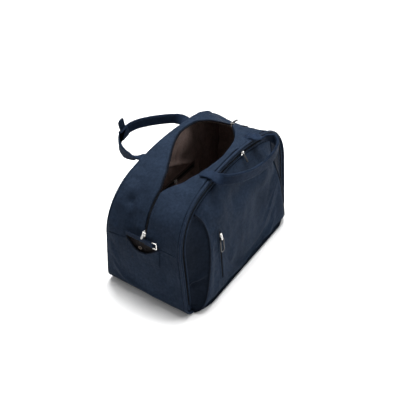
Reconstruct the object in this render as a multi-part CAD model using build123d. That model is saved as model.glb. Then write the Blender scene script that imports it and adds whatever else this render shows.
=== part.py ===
from build123d import *
import os
from math import acos, asin, atan, cos, degrees, radians, sin, sqrt

os.makedirs("parts", exist_ok=True)

# Driving dimensions, mm. X is the length, -Y the front, Z up; the origin is under the middle of the base.
LENGTH = 480
DEPTH = 228
FRONT_HEIGHT = 323
REAR_HEIGHT = 312
FRONT_LEAN = atan(29 / FRONT_HEIGHT)
REAR_LEAN = atan(23 / REAR_HEIGHT)
SHOULDER_R = 130
CROWN_R = 570
CORNER_R = 34
WALL = 3
LINING = 1
SEAM_Z = 188
PIPING_R = 3

# The mouth, seen from above: two corners, an arc along the front rim and two arcs along the rear rim
ZIP_Y = -4
MOUTH_LEFT = -170
MOUTH_RIGHT = 130
FRONT_RIM_Y = -69
REAR_RIM = [(-55, 40), (45, 70), (105, 45)]
FLAP_LOW_Z = 268
TAPE_W = 9
SLOT_HALF = 2
SLIDER_Z = 211

# Front compartment
TAPE_OUT = 8
TAPE_IN = 27
COIL_OUT = 16.5
COIL_IN = 19.5
POCKET_OUT = 30
POCKET_SKIN = 2
POCKET_FOOT = 6
FRONT_ZIP_LOW = 30
GUSSET_EDGE = [(-260, -20), (-260, 225), (-178, 274), (-158, 217), (-167, 159), (-192, 33), (-205, -20)]

# Handles
ANCHOR_X = 92
STRAP_W = 24
STRAP_T = 4
REAR_PIVOT = (101, 291)
FRONT_PIVOT = (-98, 317)


def save(shape, node):
    export_step(shape, "parts/" + node + ".step")


def whole(shape):
    """One shape holding every solid of a boolean result."""
    solids = shape.solids()
    return solids[0] if len(solids) == 1 else Compound(children=solids)


def block(x0, x1, y0, y1, z0, z1):
    return Pos((x0 + x1) / 2, (y0 + y1) / 2, (z0 + z1) / 2) * Box(x1 - x0, y1 - y0, z1 - z0)


# ---------------------------------------------------------------- the two leaning faces
front_out = (0, -cos(FRONT_LEAN), sin(FRONT_LEAN))
front_plane = Plane(origin=(0, -DEPTH / 2, 0), x_dir=(1, 0, 0), z_dir=front_out)
rear_inward = (0, -cos(REAR_LEAN), -sin(REAR_LEAN))
rear_plane = Plane(origin=(0, DEPTH / 2, 0), x_dir=(1, 0, 0), z_dir=rear_inward)
FRONT_UP = FRONT_HEIGHT / cos(FRONT_LEAN)
REAR_UP = REAR_HEIGHT / cos(REAR_LEAN)


def spring(height):
    """Height at which the straight side turns into the shoulder."""
    return height - CROWN_R + sqrt((CROWN_R - SHOULDER_R) ** 2 - (LENGTH / 2 - SHOULDER_R) ** 2)


def dome_wire(height, inset=0.0, base=0.0):
    """Half-moon outline in a face's own plane: flat foot, straight sides, round shoulders, shallow crown."""
    half = LENGTH / 2 - inset
    foot = inset + base
    corner = max(CORNER_R - inset, 5)
    shoulder = SHOULDER_R - inset
    crown = CROWN_R - inset
    side = spring(height)
    centre = half - shoulder
    crown_z = height - CROWN_R
    join_x = centre * crown / (crown - shoulder)
    join_z = crown_z + sqrt(crown ** 2 - join_x ** 2)
    turn = acos(centre / (crown - shoulder)) / 2
    knee = corner * (1 - sqrt(0.5))
    left = (-half, side)
    right = (half, side)
    left_shoulder = (-centre - shoulder * cos(turn), side + shoulder * sin(turn))
    right_shoulder = (centre + shoulder * cos(turn), side + shoulder * sin(turn))
    edges = [
        Line((-half + corner, foot), (half - corner, foot)),
        ThreePointArc((half - corner, foot), (half - knee, foot + knee), (half, foot + corner)),
        Line((half, foot + corner), right),
        ThreePointArc(right, right_shoulder, (join_x, join_z)),
        ThreePointArc((join_x, join_z), (0, crown_z + crown), (-join_x, join_z)),
        ThreePointArc((-join_x, join_z), left_shoulder, left),
        Line(left, (-half, foot + corner)),
        ThreePointArc((-half, foot + corner), (-half + knee, foot + knee), (-half + corner, foot)),
    ]
    return Wire(edges)


def bag_form(inset):
    """The bag's volume, drawn in from every outer face by inset."""
    front = front_plane.offset(-inset) * Face(dome_wire(FRONT_UP, inset))
    rear = rear_plane.offset(inset) * Face(dome_wire(REAR_UP, inset))
    return loft([front, rear], ruled=True)


def plate(plane, low, high):
    """A wide slab between two distances along a plane's normal."""
    return extrude(plane.offset(low) * Rectangle(900, 1400), amount=high - low)


outer = bag_form(0)
cavity = bag_form(WALL)
lined = bag_form(WALL + LINING)
shell = outer - cavity
lining = cavity - lined
front_slab = plate(front_plane, -WALL, 5)
rear_slab = plate(rear_plane, -5, WALL)

# ---------------------------------------------------------------- mouth, zip slot and zip tape zones
def mouth_face(grow):
    """Outline of the open mouth from above, grown outwards by grow."""
    middle = (MOUTH_LEFT + MOUTH_RIGHT) / 2
    points = [(x, y + grow) for x, y in REAR_RIM]
    left = (MOUTH_LEFT - grow, ZIP_Y)
    right = (MOUTH_RIGHT + grow, ZIP_Y)
    edges = [
        ThreePointArc(left, (middle, FRONT_RIM_Y - grow), right),
        ThreePointArc(right, (points[2][0] + grow, points[2][1]), points[1]),
        ThreePointArc(points[1], points[0], left),
    ]
    return Face(Wire(edges))


def mouth_prism(grow):
    return extrude(Pos(0, 0, 200) * mouth_face(grow), amount=200, dir=(0, 0, 1))


mouth = mouth_prism(0)
slot = block(-300, MOUTH_LEFT + 4, ZIP_Y - SLOT_HALF, ZIP_Y + SLOT_HALF, SLIDER_Z - 8, 400)
front_side = block(-400, 400, -300, ZIP_Y, -50, 500)
rear_side = block(-400, 400, ZIP_Y, 300, -50, 500)
upper = block(-400, 400, -300, 300, SEAM_Z, 500)
band = shell - front_slab - rear_slab
upper_band = band & upper
open_band = upper_band - mouth - slot
left_run = block(-400, MOUTH_LEFT + 8, ZIP_Y - TAPE_W - SLOT_HALF, ZIP_Y + TAPE_W + SLOT_HALF, SEAM_Z, 500)
right_run = block(MOUTH_RIGHT - 4, 400, ZIP_Y - TAPE_W, ZIP_Y + TAPE_W, SEAM_Z, 500)
runs = left_run + right_run
rear_zone = runs + mouth_prism(TAPE_W)
rim_ring = (mouth & block(MOUTH_LEFT + 14, MOUTH_RIGHT - 16, -300, ZIP_Y, 0, 500)) - mouth_prism(-2)
flap_body = rim_ring & outer
flap_tape = flap_body & block(-400, 400, -300, 300, FLAP_LOW_Z - 10, FLAP_LOW_Z)
flap = flap_body & block(-400, 400, -300, 300, FLAP_LOW_Z, 500)

# ---------------------------------------------------------------- shell panels
save(whole(shell & front_slab), "front_wall")
save(whole(shell & rear_slab), "rear_wall")
save(whole((open_band & front_side) - runs), "gusset_front")
save(whole(flap), "mouth_flap")
save(whole(flap_tape), "mouth_flap_tape")
save(whole((open_band & rear_side) - rear_zone), "gusset_rear")
save(whole(open_band & front_side & runs), "main_zip_front")
save(whole(open_band & rear_side & rear_zone), "main_zip_rear")
END_X = LENGTH / 2 - CORNER_R
lower_band = band & block(-400, 400, -300, 300, -50, SEAM_Z)
save(whole(lower_band & block(-400, -END_X, -300, 300, -50, 500)), "left_end_panel")
save(whole(lower_band & block(END_X, 400, -300, 300, -50, 500)), "right_end_panel")
save(whole(lower_band & block(-END_X, END_X, -300, 300, -50, 500)), "bottom_panel")

# ---------------------------------------------------------------- lining and base board
front_lining_slab = plate(front_plane, -WALL - LINING, 5)
rear_lining_slab = plate(rear_plane, -5, WALL + LINING)
save(whole(lining & front_lining_slab), "lining_front")
save(whole(lining & rear_lining_slab), "lining_rear")
save(whole(lining - front_lining_slab - rear_lining_slab - mouth - runs), "lining_band")
BOARD_T = 3
board = block(-200, 200, -98, 98, WALL + LINING, WALL + LINING + BOARD_T)
save(whole(fillet(board.edges().filter_by(Axis.Z), 12)), "base_board")


# ---------------------------------------------------------------- piping along both faces
def piping(plane, height):
    """A round cord laid on the face, just inside its edge."""
    path = plane * dome_wire(height, PIPING_R)
    start = path.position_at(0)
    section = Plane(origin=start, z_dir=path.tangent_at(0)) * Circle(PIPING_R)
    return sweep(section, path=path, transition=Transition.ROUND)


save(whole(piping(front_plane.offset(PIPING_R), FRONT_UP)), "piping_front")
save(whole(piping(rear_plane.offset(-PIPING_R), REAR_UP)), "piping_rear")

# ---------------------------------------------------------------- front compartment
tape_ring = Face(dome_wire(FRONT_UP, TAPE_OUT)) - Face(dome_wire(FRONT_UP, TAPE_IN))
coil_ring = Face(dome_wire(FRONT_UP, COIL_OUT)) - Face(dome_wire(FRONT_UP, COIL_IN))
above_foot = block(-400, 400, -300, 300, FRONT_ZIP_LOW, 500)
TAPE_T = 1.2
COIL_T = 1.4
front_tape = extrude(front_plane * tape_ring, amount=TAPE_T, dir=front_plane.z_dir)
front_coil = extrude(front_plane.offset(TAPE_T) * coil_ring, amount=COIL_T, dir=front_plane.z_dir)
save(whole(front_tape & above_foot), "front_zip_tape")
save(whole(front_coil & above_foot), "front_zip_coil")


def pocket_outline(plane, half, foot, side, top):
    """A half-moon with a wide flat head, on a plane parallel to the front face."""
    corner = 14
    rise = top - side
    knee = corner * (1 - sqrt(0.5))
    right_end = (half - rise * 0.75, top - rise * 0.12)
    left_end = (-half + rise * 0.75, top - rise * 0.12)
    right_bulge = (half - rise * 0.18, side + rise * 0.62)
    left_bulge = (-half + rise * 0.18, side + rise * 0.62)
    points = [
        Line((-half + corner, foot), (half - corner, foot)),
        ThreePointArc((half - corner, foot), (half - knee, foot + knee), (half, foot + corner)),
        Line((half, foot + corner), (half, side)),
        ThreePointArc((half, side), right_bulge, right_end),
        ThreePointArc(right_end, (0, top), left_end),
        ThreePointArc(left_end, left_bulge, (-half, side)),
        Line((-half, side), (-half, foot + corner)),
        ThreePointArc((-half, foot + corner), (-half + knee, foot + knee), (-half + corner, foot)),
    ]
    return plane * Face(Wire(points))


def pocket_form(skin):
    """The bulged compartment, drawn in by skin."""
    inset = TAPE_IN + 1 + skin
    back = front_plane * Face(dome_wire(FRONT_UP, inset, POCKET_FOOT - inset + skin))
    face = pocket_outline(front_plane.offset(POCKET_OUT - skin), 176 - skin, 9 + skin, 150, 238 - skin)
    return loft([back, face], ruled=True)


pocket_shell = pocket_form(0) - pocket_form(POCKET_SKIN)
fold_face = front_plane.offset(-2) * Face(Wire(Polyline(*GUSSET_EDGE, close=True)))
left_fold = extrude(fold_face, amount=POCKET_OUT + 10, dir=front_plane.z_dir)
right_fold = mirror(left_fold, about=Plane.YZ)
save(whole(pocket_shell & left_fold), "pocket_gusset_left")
save(whole(pocket_shell & right_fold), "pocket_gusset_right")
save(whole(pocket_shell - left_fold - right_fold), "front_pocket_panel")


# ---------------------------------------------------------------- zip sliders and pullers
SLIDER_L = 11
SLIDER_W = 8.4
PLATE_T = 1.2
PLATE_GAP = 1
PIN_R = 0.9
PIN_HOLE_R = 0.95
EAR_H = 3.4
LEFT_PULLER_LIFT = 30
FRONT_PULLER_LIFT = 33


def slider(depth, ear_turn=0):
    """A slider about the outer surface: X is its travel, Z points out, its neck is at +X.
    depth is the thickness of the fabric that it straddles; 0 leaves out the neck and lower plate."""
    low = PLATE_GAP
    top = block(-SLIDER_L / 2, SLIDER_L / 2, -SLIDER_W / 2, SLIDER_W / 2, low, low + PLATE_T)
    top = fillet(top.edges().filter_by(Axis.Z), 2.2)
    ear = block(-2.2, 2.2, -1.1, 1.1, low + PLATE_T, low + PLATE_T + EAR_H)
    ear = fillet(ear.edges().filter_by(Axis.Y).group_by(Axis.Z)[-1], 1.4)
    eye = Pos(0, 0, PIN_Z) * Rot(90, 0, 0) * Cylinder(PIN_HOLE_R, 10)
    body = top + Rot(0, 0, ear_turn) * (ear - eye)
    if depth:
        under = block(-SLIDER_L / 2, SLIDER_L / 2, -SLIDER_W / 2, SLIDER_W / 2,
                      -depth - PLATE_GAP - PLATE_T, -depth - PLATE_GAP)
        neck = block(SLIDER_L / 2 - 2.6, SLIDER_L / 2 - 0.6, -1, 1, -depth - PLATE_GAP, low)
        body = body + under + neck
    return body


PIN_Z = PLATE_GAP + PLATE_T + EAR_H - 1.6


def puller(reach, width, lift=0):
    """A flat pull tab lying along -X from its pin in the slider's ear, its free end lifted by an angle."""
    pin = Pos(0, 0, PIN_Z) * Rot(90, 0, 0) * Cylinder(PIN_R, 5.4)
    tab = block(-reach, -4, -width / 2, width / 2, PIN_Z - 0.7, PIN_Z + 0.7)
    tab = fillet(tab.edges().filter_by(Axis.Z), width / 2 - 0.3)
    ring = block(-6.5, 1, -2.7, 2.7, PIN_Z - 0.7, PIN_Z + 0.7)
    ring = ring - block(-4, 3, -1.4, 1.4, 0, 20)
    return Pos(0, 0, PIN_Z) * Rot(0, lift, 0) * Pos(0, 0, -PIN_Z) * (ring + tab + pin)


def slider_place(origin, travel, outward):
    return Location(Plane(origin=origin, x_dir=travel, z_dir=outward))


def on_arc(centre_x, centre_z, radius, angle, y, forward):
    """A place on an arc in a plane of constant Y; angle is measured from +X towards +Z."""
    out = (cos(angle), 0, sin(angle))
    travel = (-sin(angle) * forward, 0, cos(angle) * forward)
    return slider_place((centre_x + radius * cos(angle), y, centre_z + radius * sin(angle)), travel, out)


# The zip's path in the plane y = ZIP_Y lies between the front and rear outlines
front_y = -DEPTH / 2
rear_y = DEPTH / 2
share = (ZIP_Y - front_y - 24) / (rear_y - front_y - 43)
shoulder_z = spring(FRONT_UP) * cos(FRONT_LEAN) * (1 - share) + spring(REAR_UP) * cos(REAR_LEAN) * share
crown_centre_z = FRONT_HEIGHT * (1 - share) + REAR_HEIGHT * share - CROWN_R
shoulder_x = LENGTH / 2 - SHOULDER_R
left_angle = radians(180) - asin((SLIDER_Z - shoulder_z) / SHOULDER_R)
left_place = on_arc(-shoulder_x, shoulder_z, SHOULDER_R, left_angle, ZIP_Y, -1)
RIGHT_SLIDER_X = MOUTH_RIGHT + 2
right_angle = acos(RIGHT_SLIDER_X / CROWN_R)
right_place = on_arc(0, crown_centre_z, CROWN_R, right_angle, ZIP_Y, 1)
save(whole(left_place * slider(WALL)), "zip_slider_left")
save(whole(left_place * puller(12, 5.6, LEFT_PULLER_LIFT)), "zip_puller_left")
save(whole(right_place * slider(WALL)), "zip_slider_right")
save(whole(right_place * puller(26, 6)), "zip_puller_right")

FRONT_SLIDER_X = 36
coil_mid = (COIL_OUT + COIL_IN) / 2
coil_r = CROWN_R - coil_mid
front_angle = asin(FRONT_SLIDER_X / coil_r)
front_local = (FRONT_SLIDER_X, FRONT_UP - CROWN_R + coil_r * cos(front_angle), TAPE_T + COIL_T - 0.3)
front_place = front_plane * Pos(*front_local) * Rot(0, 0, -degrees(front_angle))
save(whole(front_place * slider(0, 90)), "front_zip_slider")
hang = Rot(0, 0, 90)
save(whole(front_place * hang * puller(24, 6, FRONT_PULLER_LIFT)), "front_zip_puller")

# ---------------------------------------------------------------- welt pocket on the front panel
WELT_X = -118
WELT_LOW = 45
WELT_HIGH = 196
WELT_W = 16
welt_plane = front_plane.offset(POCKET_OUT)
welt = block(WELT_X - WELT_W / 2, WELT_X + WELT_W / 2, WELT_LOW, WELT_HIGH, 0, 1.4)
welt_slot = block(WELT_X - 3, WELT_X + 3, WELT_LOW + 6, WELT_HIGH - 6, -1, 3)
welt_coil = block(WELT_X - 2.9, WELT_X + 2.9, WELT_LOW + 6.1, WELT_HIGH - 6.1, 0, 1.8)
save(whole(welt_plane * (welt - welt_slot)), "welt_frame")
save(whole(welt_plane * welt_coil), "welt_zip_coil")
welt_place = welt_plane * Pos(WELT_X, WELT_HIGH - 16, 1.8) * Rot(0, 0, 90)
save(whole(welt_place * slider(0)), "welt_slider")
LOOP_X = -10
LOOP_PIN_R = 0.8
link_boss = block(LOOP_X - 1.8, LOOP_X + 1.8, -2.8, 2.8, PIN_Z - 1.5, PIN_Z + 1.5)
link_eye = Pos(LOOP_X, 0, PIN_Z) * Rot(90, 0, 0) * Cylinder(LOOP_PIN_R + 0.05, 10)
link = puller(10.5, 5.6) + link_boss - link_eye
save(whole(welt_place * link), "welt_link")
loop_pin = Pos(LOOP_X, 0, PIN_Z) * Rot(90, 0, 0) * Cylinder(LOOP_PIN_R, 7)
loop_outer = block(LOOP_X - 34, LOOP_X + 2.2, -6, 6, PIN_Z - 0.9, PIN_Z + 0.9)
loop_outer = fillet(loop_outer.edges().filter_by(Axis.Z), 5.5)
loop_hole = block(LOOP_X - 30, LOOP_X - 2, -3.4, 3.4, 0, 20)
loop_mouth = block(-14, 20, -3.4, 3.4, 0, 20)
save(whole(welt_place * (loop_outer - loop_hole - loop_mouth + loop_pin)), "welt_loop_puller")

# ---------------------------------------------------------------- end tabs, rings and slip pocket
TAB_LEFT_Y = 44
TAB_RIGHT_Y = -28
TAB_Z = (190, 203)
TAB_T = 2.4
RING_Y = -30.6
BAR_R = 1.5
LOOP_R = 1.55
LOOP_WALL = 1.1
RING_IN_Z = 13.6
RING_REACH = 13


def end_tab():
    """Fabric tab on the left end, its free end turned round a ring's bar."""
    face_x = -LENGTH / 2 - 1.2
    strap = block(face_x - TAB_T, face_x, TAB_RIGHT_Y + 1, TAB_LEFT_Y, *TAB_Z)
    eye_x = face_x - TAB_T / 2 - 1
    height = TAB_Z[1] - TAB_Z[0]
    eye = Pos(eye_x, RING_Y, sum(TAB_Z) / 2) * Cylinder(LOOP_R + LOOP_WALL, height)
    bridge = block(face_x - TAB_T, face_x, RING_Y, TAB_RIGHT_Y + 2, *TAB_Z)
    hole = Pos(eye_x, RING_Y, sum(TAB_Z) / 2) * Cylinder(LOOP_R, height + 2)
    return strap + bridge + eye - hole


def end_ring():
    eye_x = -LENGTH / 2 - 1.2 - TAB_T / 2 - 1
    mid = sum(TAB_Z) / 2
    half = RING_IN_Z / 2 + 2
    bar = Pos(eye_x, RING_Y, mid) * Cylinder(BAR_R, 2 * half)
    rail = block(eye_x - 1, eye_x + 1, RING_Y - RING_REACH, RING_Y + 1, -1, 1)
    rails = [Pos(0, 0, mid + side * (half - 1)) * rail for side in (-1, 1)]
    foot = block(eye_x - 1, eye_x + 1, RING_Y - RING_REACH, RING_Y - RING_REACH + 2, mid - half, mid + half)
    return bar + rails[0] + rails[1] + foot


save(whole(end_tab()), "end_tab_left")
save(whole(end_ring()), "end_ring_left")
save(whole(mirror(end_tab(), about=Plane.YZ)), "end_tab_right")
save(whole(mirror(end_ring(), about=Plane.YZ)), "end_ring_right")

SLIP_LOW = 128
SLIP_GAPE = 13
SLIP_T = 1.6
face_x = -LENGTH / 2
wedge_side = [(face_x, SLIP_LOW), (face_x, SLIP_LOW + 58), (face_x - SLIP_GAPE, SLIP_LOW + 58)]
gape_side = [
    (face_x - 0.8, SLIP_LOW + 8), (face_x - 0.8, SLIP_LOW + 60),
    (face_x - SLIP_GAPE + SLIP_T, SLIP_LOW + 60)]
wedge_face = Plane.XZ.offset(46) * Face(Wire(Polyline(*wedge_side, close=True)))
gape_face = Plane.XZ.offset(44) * Face(Wire(Polyline(*gape_side, close=True)))
wedge = extrude(wedge_face, amount=92, dir=(0, 1, 0))
inner = extrude(gape_face, amount=88, dir=(0, 1, 0))
slip = wedge - inner
mesh_side = block(face_x - 0.8, face_x, -60, 60, 0, 300)
save(whole(slip - mesh_side), "slip_pocket_panel")
save(whole(slip & mesh_side), "slip_pocket_mesh")
eyelet = Rot(0, 90, 0) * (Cylinder(4.5, 0.8) - Cylinder(2.4, 3))
save(whole(Pos(face_x - 1.2, 4, SLIP_LOW + 40) * eyelet), "slip_pocket_eyelet")


# ---------------------------------------------------------------- inner zip pocket on the rear lining
INNER_ZIP_Z = 150
INNER_HALF = 115
INNER_SLIDER_X = 24
inner_plane = rear_plane.offset(WALL + LINING)
inner_tape = block(-INNER_HALF, INNER_HALF, INNER_ZIP_Z - 12, INNER_ZIP_Z + 12, 0, 1)
inner_gap = block(-INNER_HALF + 6, INNER_HALF - 6, INNER_ZIP_Z - 3, INNER_ZIP_Z + 3, -1, 3)
inner_coil = block(-INNER_HALF + 6.1, INNER_HALF - 6.1, INNER_ZIP_Z - 2.9, INNER_ZIP_Z + 2.9, 0, 1.6)
inner_place = inner_plane * Pos(INNER_SLIDER_X, INNER_ZIP_Z, 1.6)
save(whole(inner_plane * (inner_tape - inner_gap)), "inner_zip_tape")
save(whole(inner_plane * inner_coil), "inner_zip_coil")
save(whole(inner_place * slider(0, 90)), "inner_zip_slider")
save(whole(inner_place * hang * puller(26, 6)), "inner_zip_puller")

# ---------------------------------------------------------------- handles
KNUCKLE_R = 2
FRONT_REACH = 7
REAR_REACH = 20
TONGUE_T = 2
rear_y0, rear_z0 = REAR_PIVOT
front_y0, front_z0 = FRONT_PIVOT


def strap_planes(points):
    """Upright cross-section planes at each point of a strap's route."""
    spots = [Vector(*p) for p in points]
    planes = []
    for i, spot in enumerate(spots):
        before = spots[max(i - 1, 0)]
        after = spots[min(i + 1, len(spots) - 1)]
        along = Vector(after.X - before.X, after.Y - before.Y, 0).normalized()
        planes.append(Plane(origin=spot, x_dir=Vector(0, 0, 1).cross(along), z_dir=along))
    return planes


def strap(planes, width, thickness):
    """A flat strap through its section planes, its width upright."""
    faces = [plane * Rectangle(thickness, width) for plane in planes]
    runs = [loft([near, far], ruled=True) for near, far in zip(faces, faces[1:])]
    return sum(runs[1:], runs[0])


def knuckle(x, y, z, reach):
    """The strap's sewn end: a round bead on the pivot line and a short web to the strap."""
    bead = Pos(x, y, z) * Rot(0, 90, 0) * Cylinder(KNUCKLE_R, STRAP_W - 4)
    near, far = sorted((y, y + reach))
    return bead + block(x - 2, x + 2, near, far, z - KNUCKLE_R, z + KNUCKLE_R)


rear_start = rear_y0 + REAR_REACH
front_start = front_y0 - FRONT_REACH
rear_route = [
    (ANCHOR_X, rear_start, rear_z0 + 2), (80, 136, 296), (59, 154, 299), (32, 176, 300), (2, 196, 299),
    (-24, 205, 295), (-50, 204, 289), (-72, 190, 281), (-85, 168, 276), (-90, 144, 278),
    (-ANCHOR_X, rear_start, rear_z0 - 4)]
front_route = [
    (-ANCHOR_X, front_start, front_z0), (-82, -120, 314), (-60, -132, 309), (-30, -141, 302),
    (4, -147, 296), (40, -151, 295), (74, -153, 301), (102, -148, 311), (114, -134, 319), (108, -116, 320),
    (ANCHOR_X, front_start, front_z0)]
rear_planes = strap_planes(rear_route)
front_planes = strap_planes(front_route)
rear_strap = strap(rear_planes, STRAP_W, STRAP_T)
front_strap = strap(front_planes, STRAP_W, STRAP_T)
for x in (-ANCHOR_X, ANCHOR_X):
    rear_strap = rear_strap + knuckle(x, rear_y0, rear_z0, REAR_REACH + 1)
    front_strap = front_strap + knuckle(x, front_y0, front_z0, -FRONT_REACH - 1)
save(whole(rear_strap), "handle_rear")
save(whole(front_strap), "handle_front")

# Rear anchors lie on the rear face; front anchors are tongues from the band over the piping
tongue_low = loft([front_plane.offset(9.5) * Face(dome_wire(FRONT_UP, -0.3)),
                   rear_plane * Face(dome_wire(REAR_UP, -0.3))], ruled=True)
tongue_high = loft([front_plane.offset(9.5) * Face(dome_wire(FRONT_UP, -0.3 - TONGUE_T)),
                    rear_plane * Face(dome_wire(REAR_UP, -0.3 - TONGUE_T))], ruled=True)
for name, x in (("left", -ANCHOR_X), ("right", ANCHOR_X)):
    reach = block(x - STRAP_W / 2, x + STRAP_W / 2, -120, -68, 280, 400)
    save(whole((tongue_high - tongue_low) & reach), "handle_anchor_front_" + name)
    patch = block(x - STRAP_W / 2 - 2, x + STRAP_W / 2 + 2, 246, rear_z0 - 1, -2.6, 0)
    save(whole(rear_plane * patch), "handle_anchor_rear_" + name)

# Wrap sewn round the middle of the rear strap, with a snap flap standing up from it
WRAP_RUN = 5
SLEEVE_T = 1.8
FLAP_H = 30
FLAP_T = 2.4
FLAP_GAP = 1.2
FLAP_HALF = 11
sleeve_ends = rear_planes[WRAP_RUN:WRAP_RUN + 2]
sleeve_skin = strap(sleeve_ends, STRAP_W + 2 * SLEEVE_T, STRAP_T + 2 * SLEEVE_T)
sleeve = sleeve_skin - strap(sleeve_ends, STRAP_W, STRAP_T)
wrap_mid = (Vector(*rear_route[WRAP_RUN]) + Vector(*rear_route[WRAP_RUN + 1])) * 0.5
wrap_run = Vector(*rear_route[WRAP_RUN + 1]) - Vector(*rear_route[WRAP_RUN])
wrap_out = Vector(0, 0, 1).cross(wrap_run).normalized() * -1
wrap_plane = Plane(origin=wrap_mid, x_dir=wrap_run, z_dir=wrap_out)
flap_foot = STRAP_W / 2 + SLEEVE_T + FLAP_GAP
flap_plate = block(-FLAP_HALF, FLAP_HALF, flap_foot, flap_foot + FLAP_H, -FLAP_T / 2, FLAP_T / 2)
flap_plate = fillet(flap_plate.edges().filter_by(Axis.Z).group_by(Axis.Y)[-1], 4)
stud_y = flap_foot + FLAP_H - 9
stud = Pos(0, stud_y, FLAP_T / 2 + 0.9) * Cylinder(4, 1.8)
socket = Pos(0, 2, STRAP_T / 2 + SLEEVE_T + 0.7) * Cylinder(4.5, 1.4)
save(whole(sleeve), "wrap_sleeve")
save(whole(wrap_plane * flap_plate), "wrap_flap")
save(whole(wrap_plane * stud), "wrap_snap_stud")
save(whole(wrap_plane * socket), "wrap_snap_socket")
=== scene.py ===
import math

import bpy
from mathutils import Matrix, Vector, noise


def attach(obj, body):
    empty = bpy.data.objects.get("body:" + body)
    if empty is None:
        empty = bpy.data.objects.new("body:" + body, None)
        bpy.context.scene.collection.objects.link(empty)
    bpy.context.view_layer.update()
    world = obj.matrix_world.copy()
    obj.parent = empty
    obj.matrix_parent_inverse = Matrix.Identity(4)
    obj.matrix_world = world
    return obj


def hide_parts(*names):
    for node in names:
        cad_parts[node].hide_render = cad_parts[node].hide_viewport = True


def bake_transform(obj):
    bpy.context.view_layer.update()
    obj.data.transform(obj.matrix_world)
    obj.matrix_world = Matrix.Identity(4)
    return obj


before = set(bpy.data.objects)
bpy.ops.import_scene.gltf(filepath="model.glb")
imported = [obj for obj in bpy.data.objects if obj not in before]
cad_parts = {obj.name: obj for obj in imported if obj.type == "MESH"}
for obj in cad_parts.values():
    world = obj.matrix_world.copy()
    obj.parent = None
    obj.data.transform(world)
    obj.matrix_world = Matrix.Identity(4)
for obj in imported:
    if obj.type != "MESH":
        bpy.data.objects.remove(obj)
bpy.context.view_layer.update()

# ------------------------------------------------------------------ rear gusset
# The rear half of the wide band over the bag's top and shoulders, navy twill on a soft
# backing. It is cut to the rear face's half-moon, folded under along the zip and the
# mouth's rear rim, and sewn into the rear piping.
MM = 0.001
HALF_LENGTH = 240
HALF_FOOT = 114
FRONT_HEIGHT = 323
REAR_HEIGHT = 312
FRONT_LEAN = math.atan(29 / FRONT_HEIGHT)
REAR_LEAN = math.atan(23 / REAR_HEIGHT)
FRONT_RISE = FRONT_HEIGHT / math.cos(FRONT_LEAN)
REAR_RISE = REAR_HEIGHT / math.cos(REAR_LEAN)
FOOT_CORNER = 34
CROWN_R = 570
CROWN_TURN = 0.2527
SHOULDER_R = 130
SHOULDER_X = 110
SHOULDER_TURN = 1.3182
# Girth runs up the left side and round, from the middle of the foot. Each stretch of it ends at one of these.
FOOT_END, CORNER_END, SIDE_END, SHOULDER_END, GIRTH = 206, 259, 405, 576, 1440
SEAM = 413
ZIP_Y = -4
MOUTH_LEFT = -170
MOUTH_RIGHT = 130
MOUTH_SPAN = MOUTH_RIGHT - MOUTH_LEFT
FRONT_RIM_R = 205.6
FRONT_RIM_SETBACK = 140.6
FRONT_RIM_X = -20
REAR_RIM_DEPTH = 74


def smooth(low, high, value):
    """0 below low, 1 above high, with a soft run between."""
    t = min(max((value - low) / (high - low), 0), 1)
    return t * t * (3 - 2 * t)


def half_moon(girth, rise, inset=0.0):
    """(x, up) on a face's outline at a girth."""
    girth = girth % GIRTH
    side = -1 if girth < GIRTH / 2 else 1
    run = min(girth, GIRTH - girth)
    half = HALF_LENGTH - inset
    corner = max(FOOT_CORNER - inset, 5)
    spring = rise - CROWN_R + math.sqrt((CROWN_R - SHOULDER_R) ** 2 - SHOULDER_X ** 2)
    if run < FOOT_END:
        return side * (half - corner) * run / FOOT_END, inset
    if run < CORNER_END:
        turn = (run - FOOT_END) / (CORNER_END - FOOT_END) * math.pi / 2
        return side * (half - corner + corner * math.sin(turn)), inset + corner * (1 - math.cos(turn))
    if run < SIDE_END:
        part = (run - CORNER_END) / (SIDE_END - CORNER_END)
        return side * half, (inset + corner) * (1 - part) + spring * part
    if run < SHOULDER_END:
        turn = (run - SIDE_END) / (SHOULDER_END - SIDE_END) * SHOULDER_TURN
        radius = SHOULDER_R - inset
        return side * (SHOULDER_X + radius * math.cos(turn)), spring + radius * math.sin(turn)
    turn = CROWN_TURN * (GIRTH / 2 - run) / (GIRTH / 2 - SHOULDER_END)
    return side * (CROWN_R - inset) * math.sin(turn), rise - CROWN_R + (CROWN_R - inset) * math.cos(turn)


def on_front(x, up, out=0.0):
    """A point of the leaning front face; out is towards the viewer of that face."""
    return Vector((x, -HALF_FOOT + up * math.sin(FRONT_LEAN) - out * math.cos(FRONT_LEAN),
                   up * math.cos(FRONT_LEAN) + out * math.sin(FRONT_LEAN)))


def on_rear(x, up, out=0.0):
    """A point of the leaning rear face; out is away from the bag."""
    return Vector((x, HALF_FOOT - up * math.sin(REAR_LEAN) + out * math.cos(REAR_LEAN),
                   up * math.cos(REAR_LEAN) + out * math.sin(REAR_LEAN)))


def front_rim(x):
    """Depth of the mouth's front rim, a flat arc."""
    return ZIP_Y - (math.sqrt(max(FRONT_RIM_R ** 2 - (x - FRONT_RIM_X) ** 2, 0)) - FRONT_RIM_SETBACK)


def rear_rim(x):
    """Depth of the mouth's rear rim, fullest towards the right."""
    part = (x - MOUTH_LEFT) / MOUTH_SPAN
    return ZIP_Y + REAR_RIM_DEPTH * max(math.sin(math.pi * part ** 1.7), 0) ** 0.75


def edge_depth(girth, rim, run_gap, rim_gap):
    """Depth of a cloth edge beside the zip: run_gap from it on the runs, rim_gap from the rim round the mouth."""
    x = half_moon(girth, FRONT_RISE)[0]
    gap = run_gap + (rim_gap - run_gap) * smooth(MOUTH_LEFT, MOUTH_LEFT + 12, x)
    if MOUTH_LEFT < x < MOUTH_RIGHT:
        return rim(x) + gap
    return ZIP_Y + gap


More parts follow.
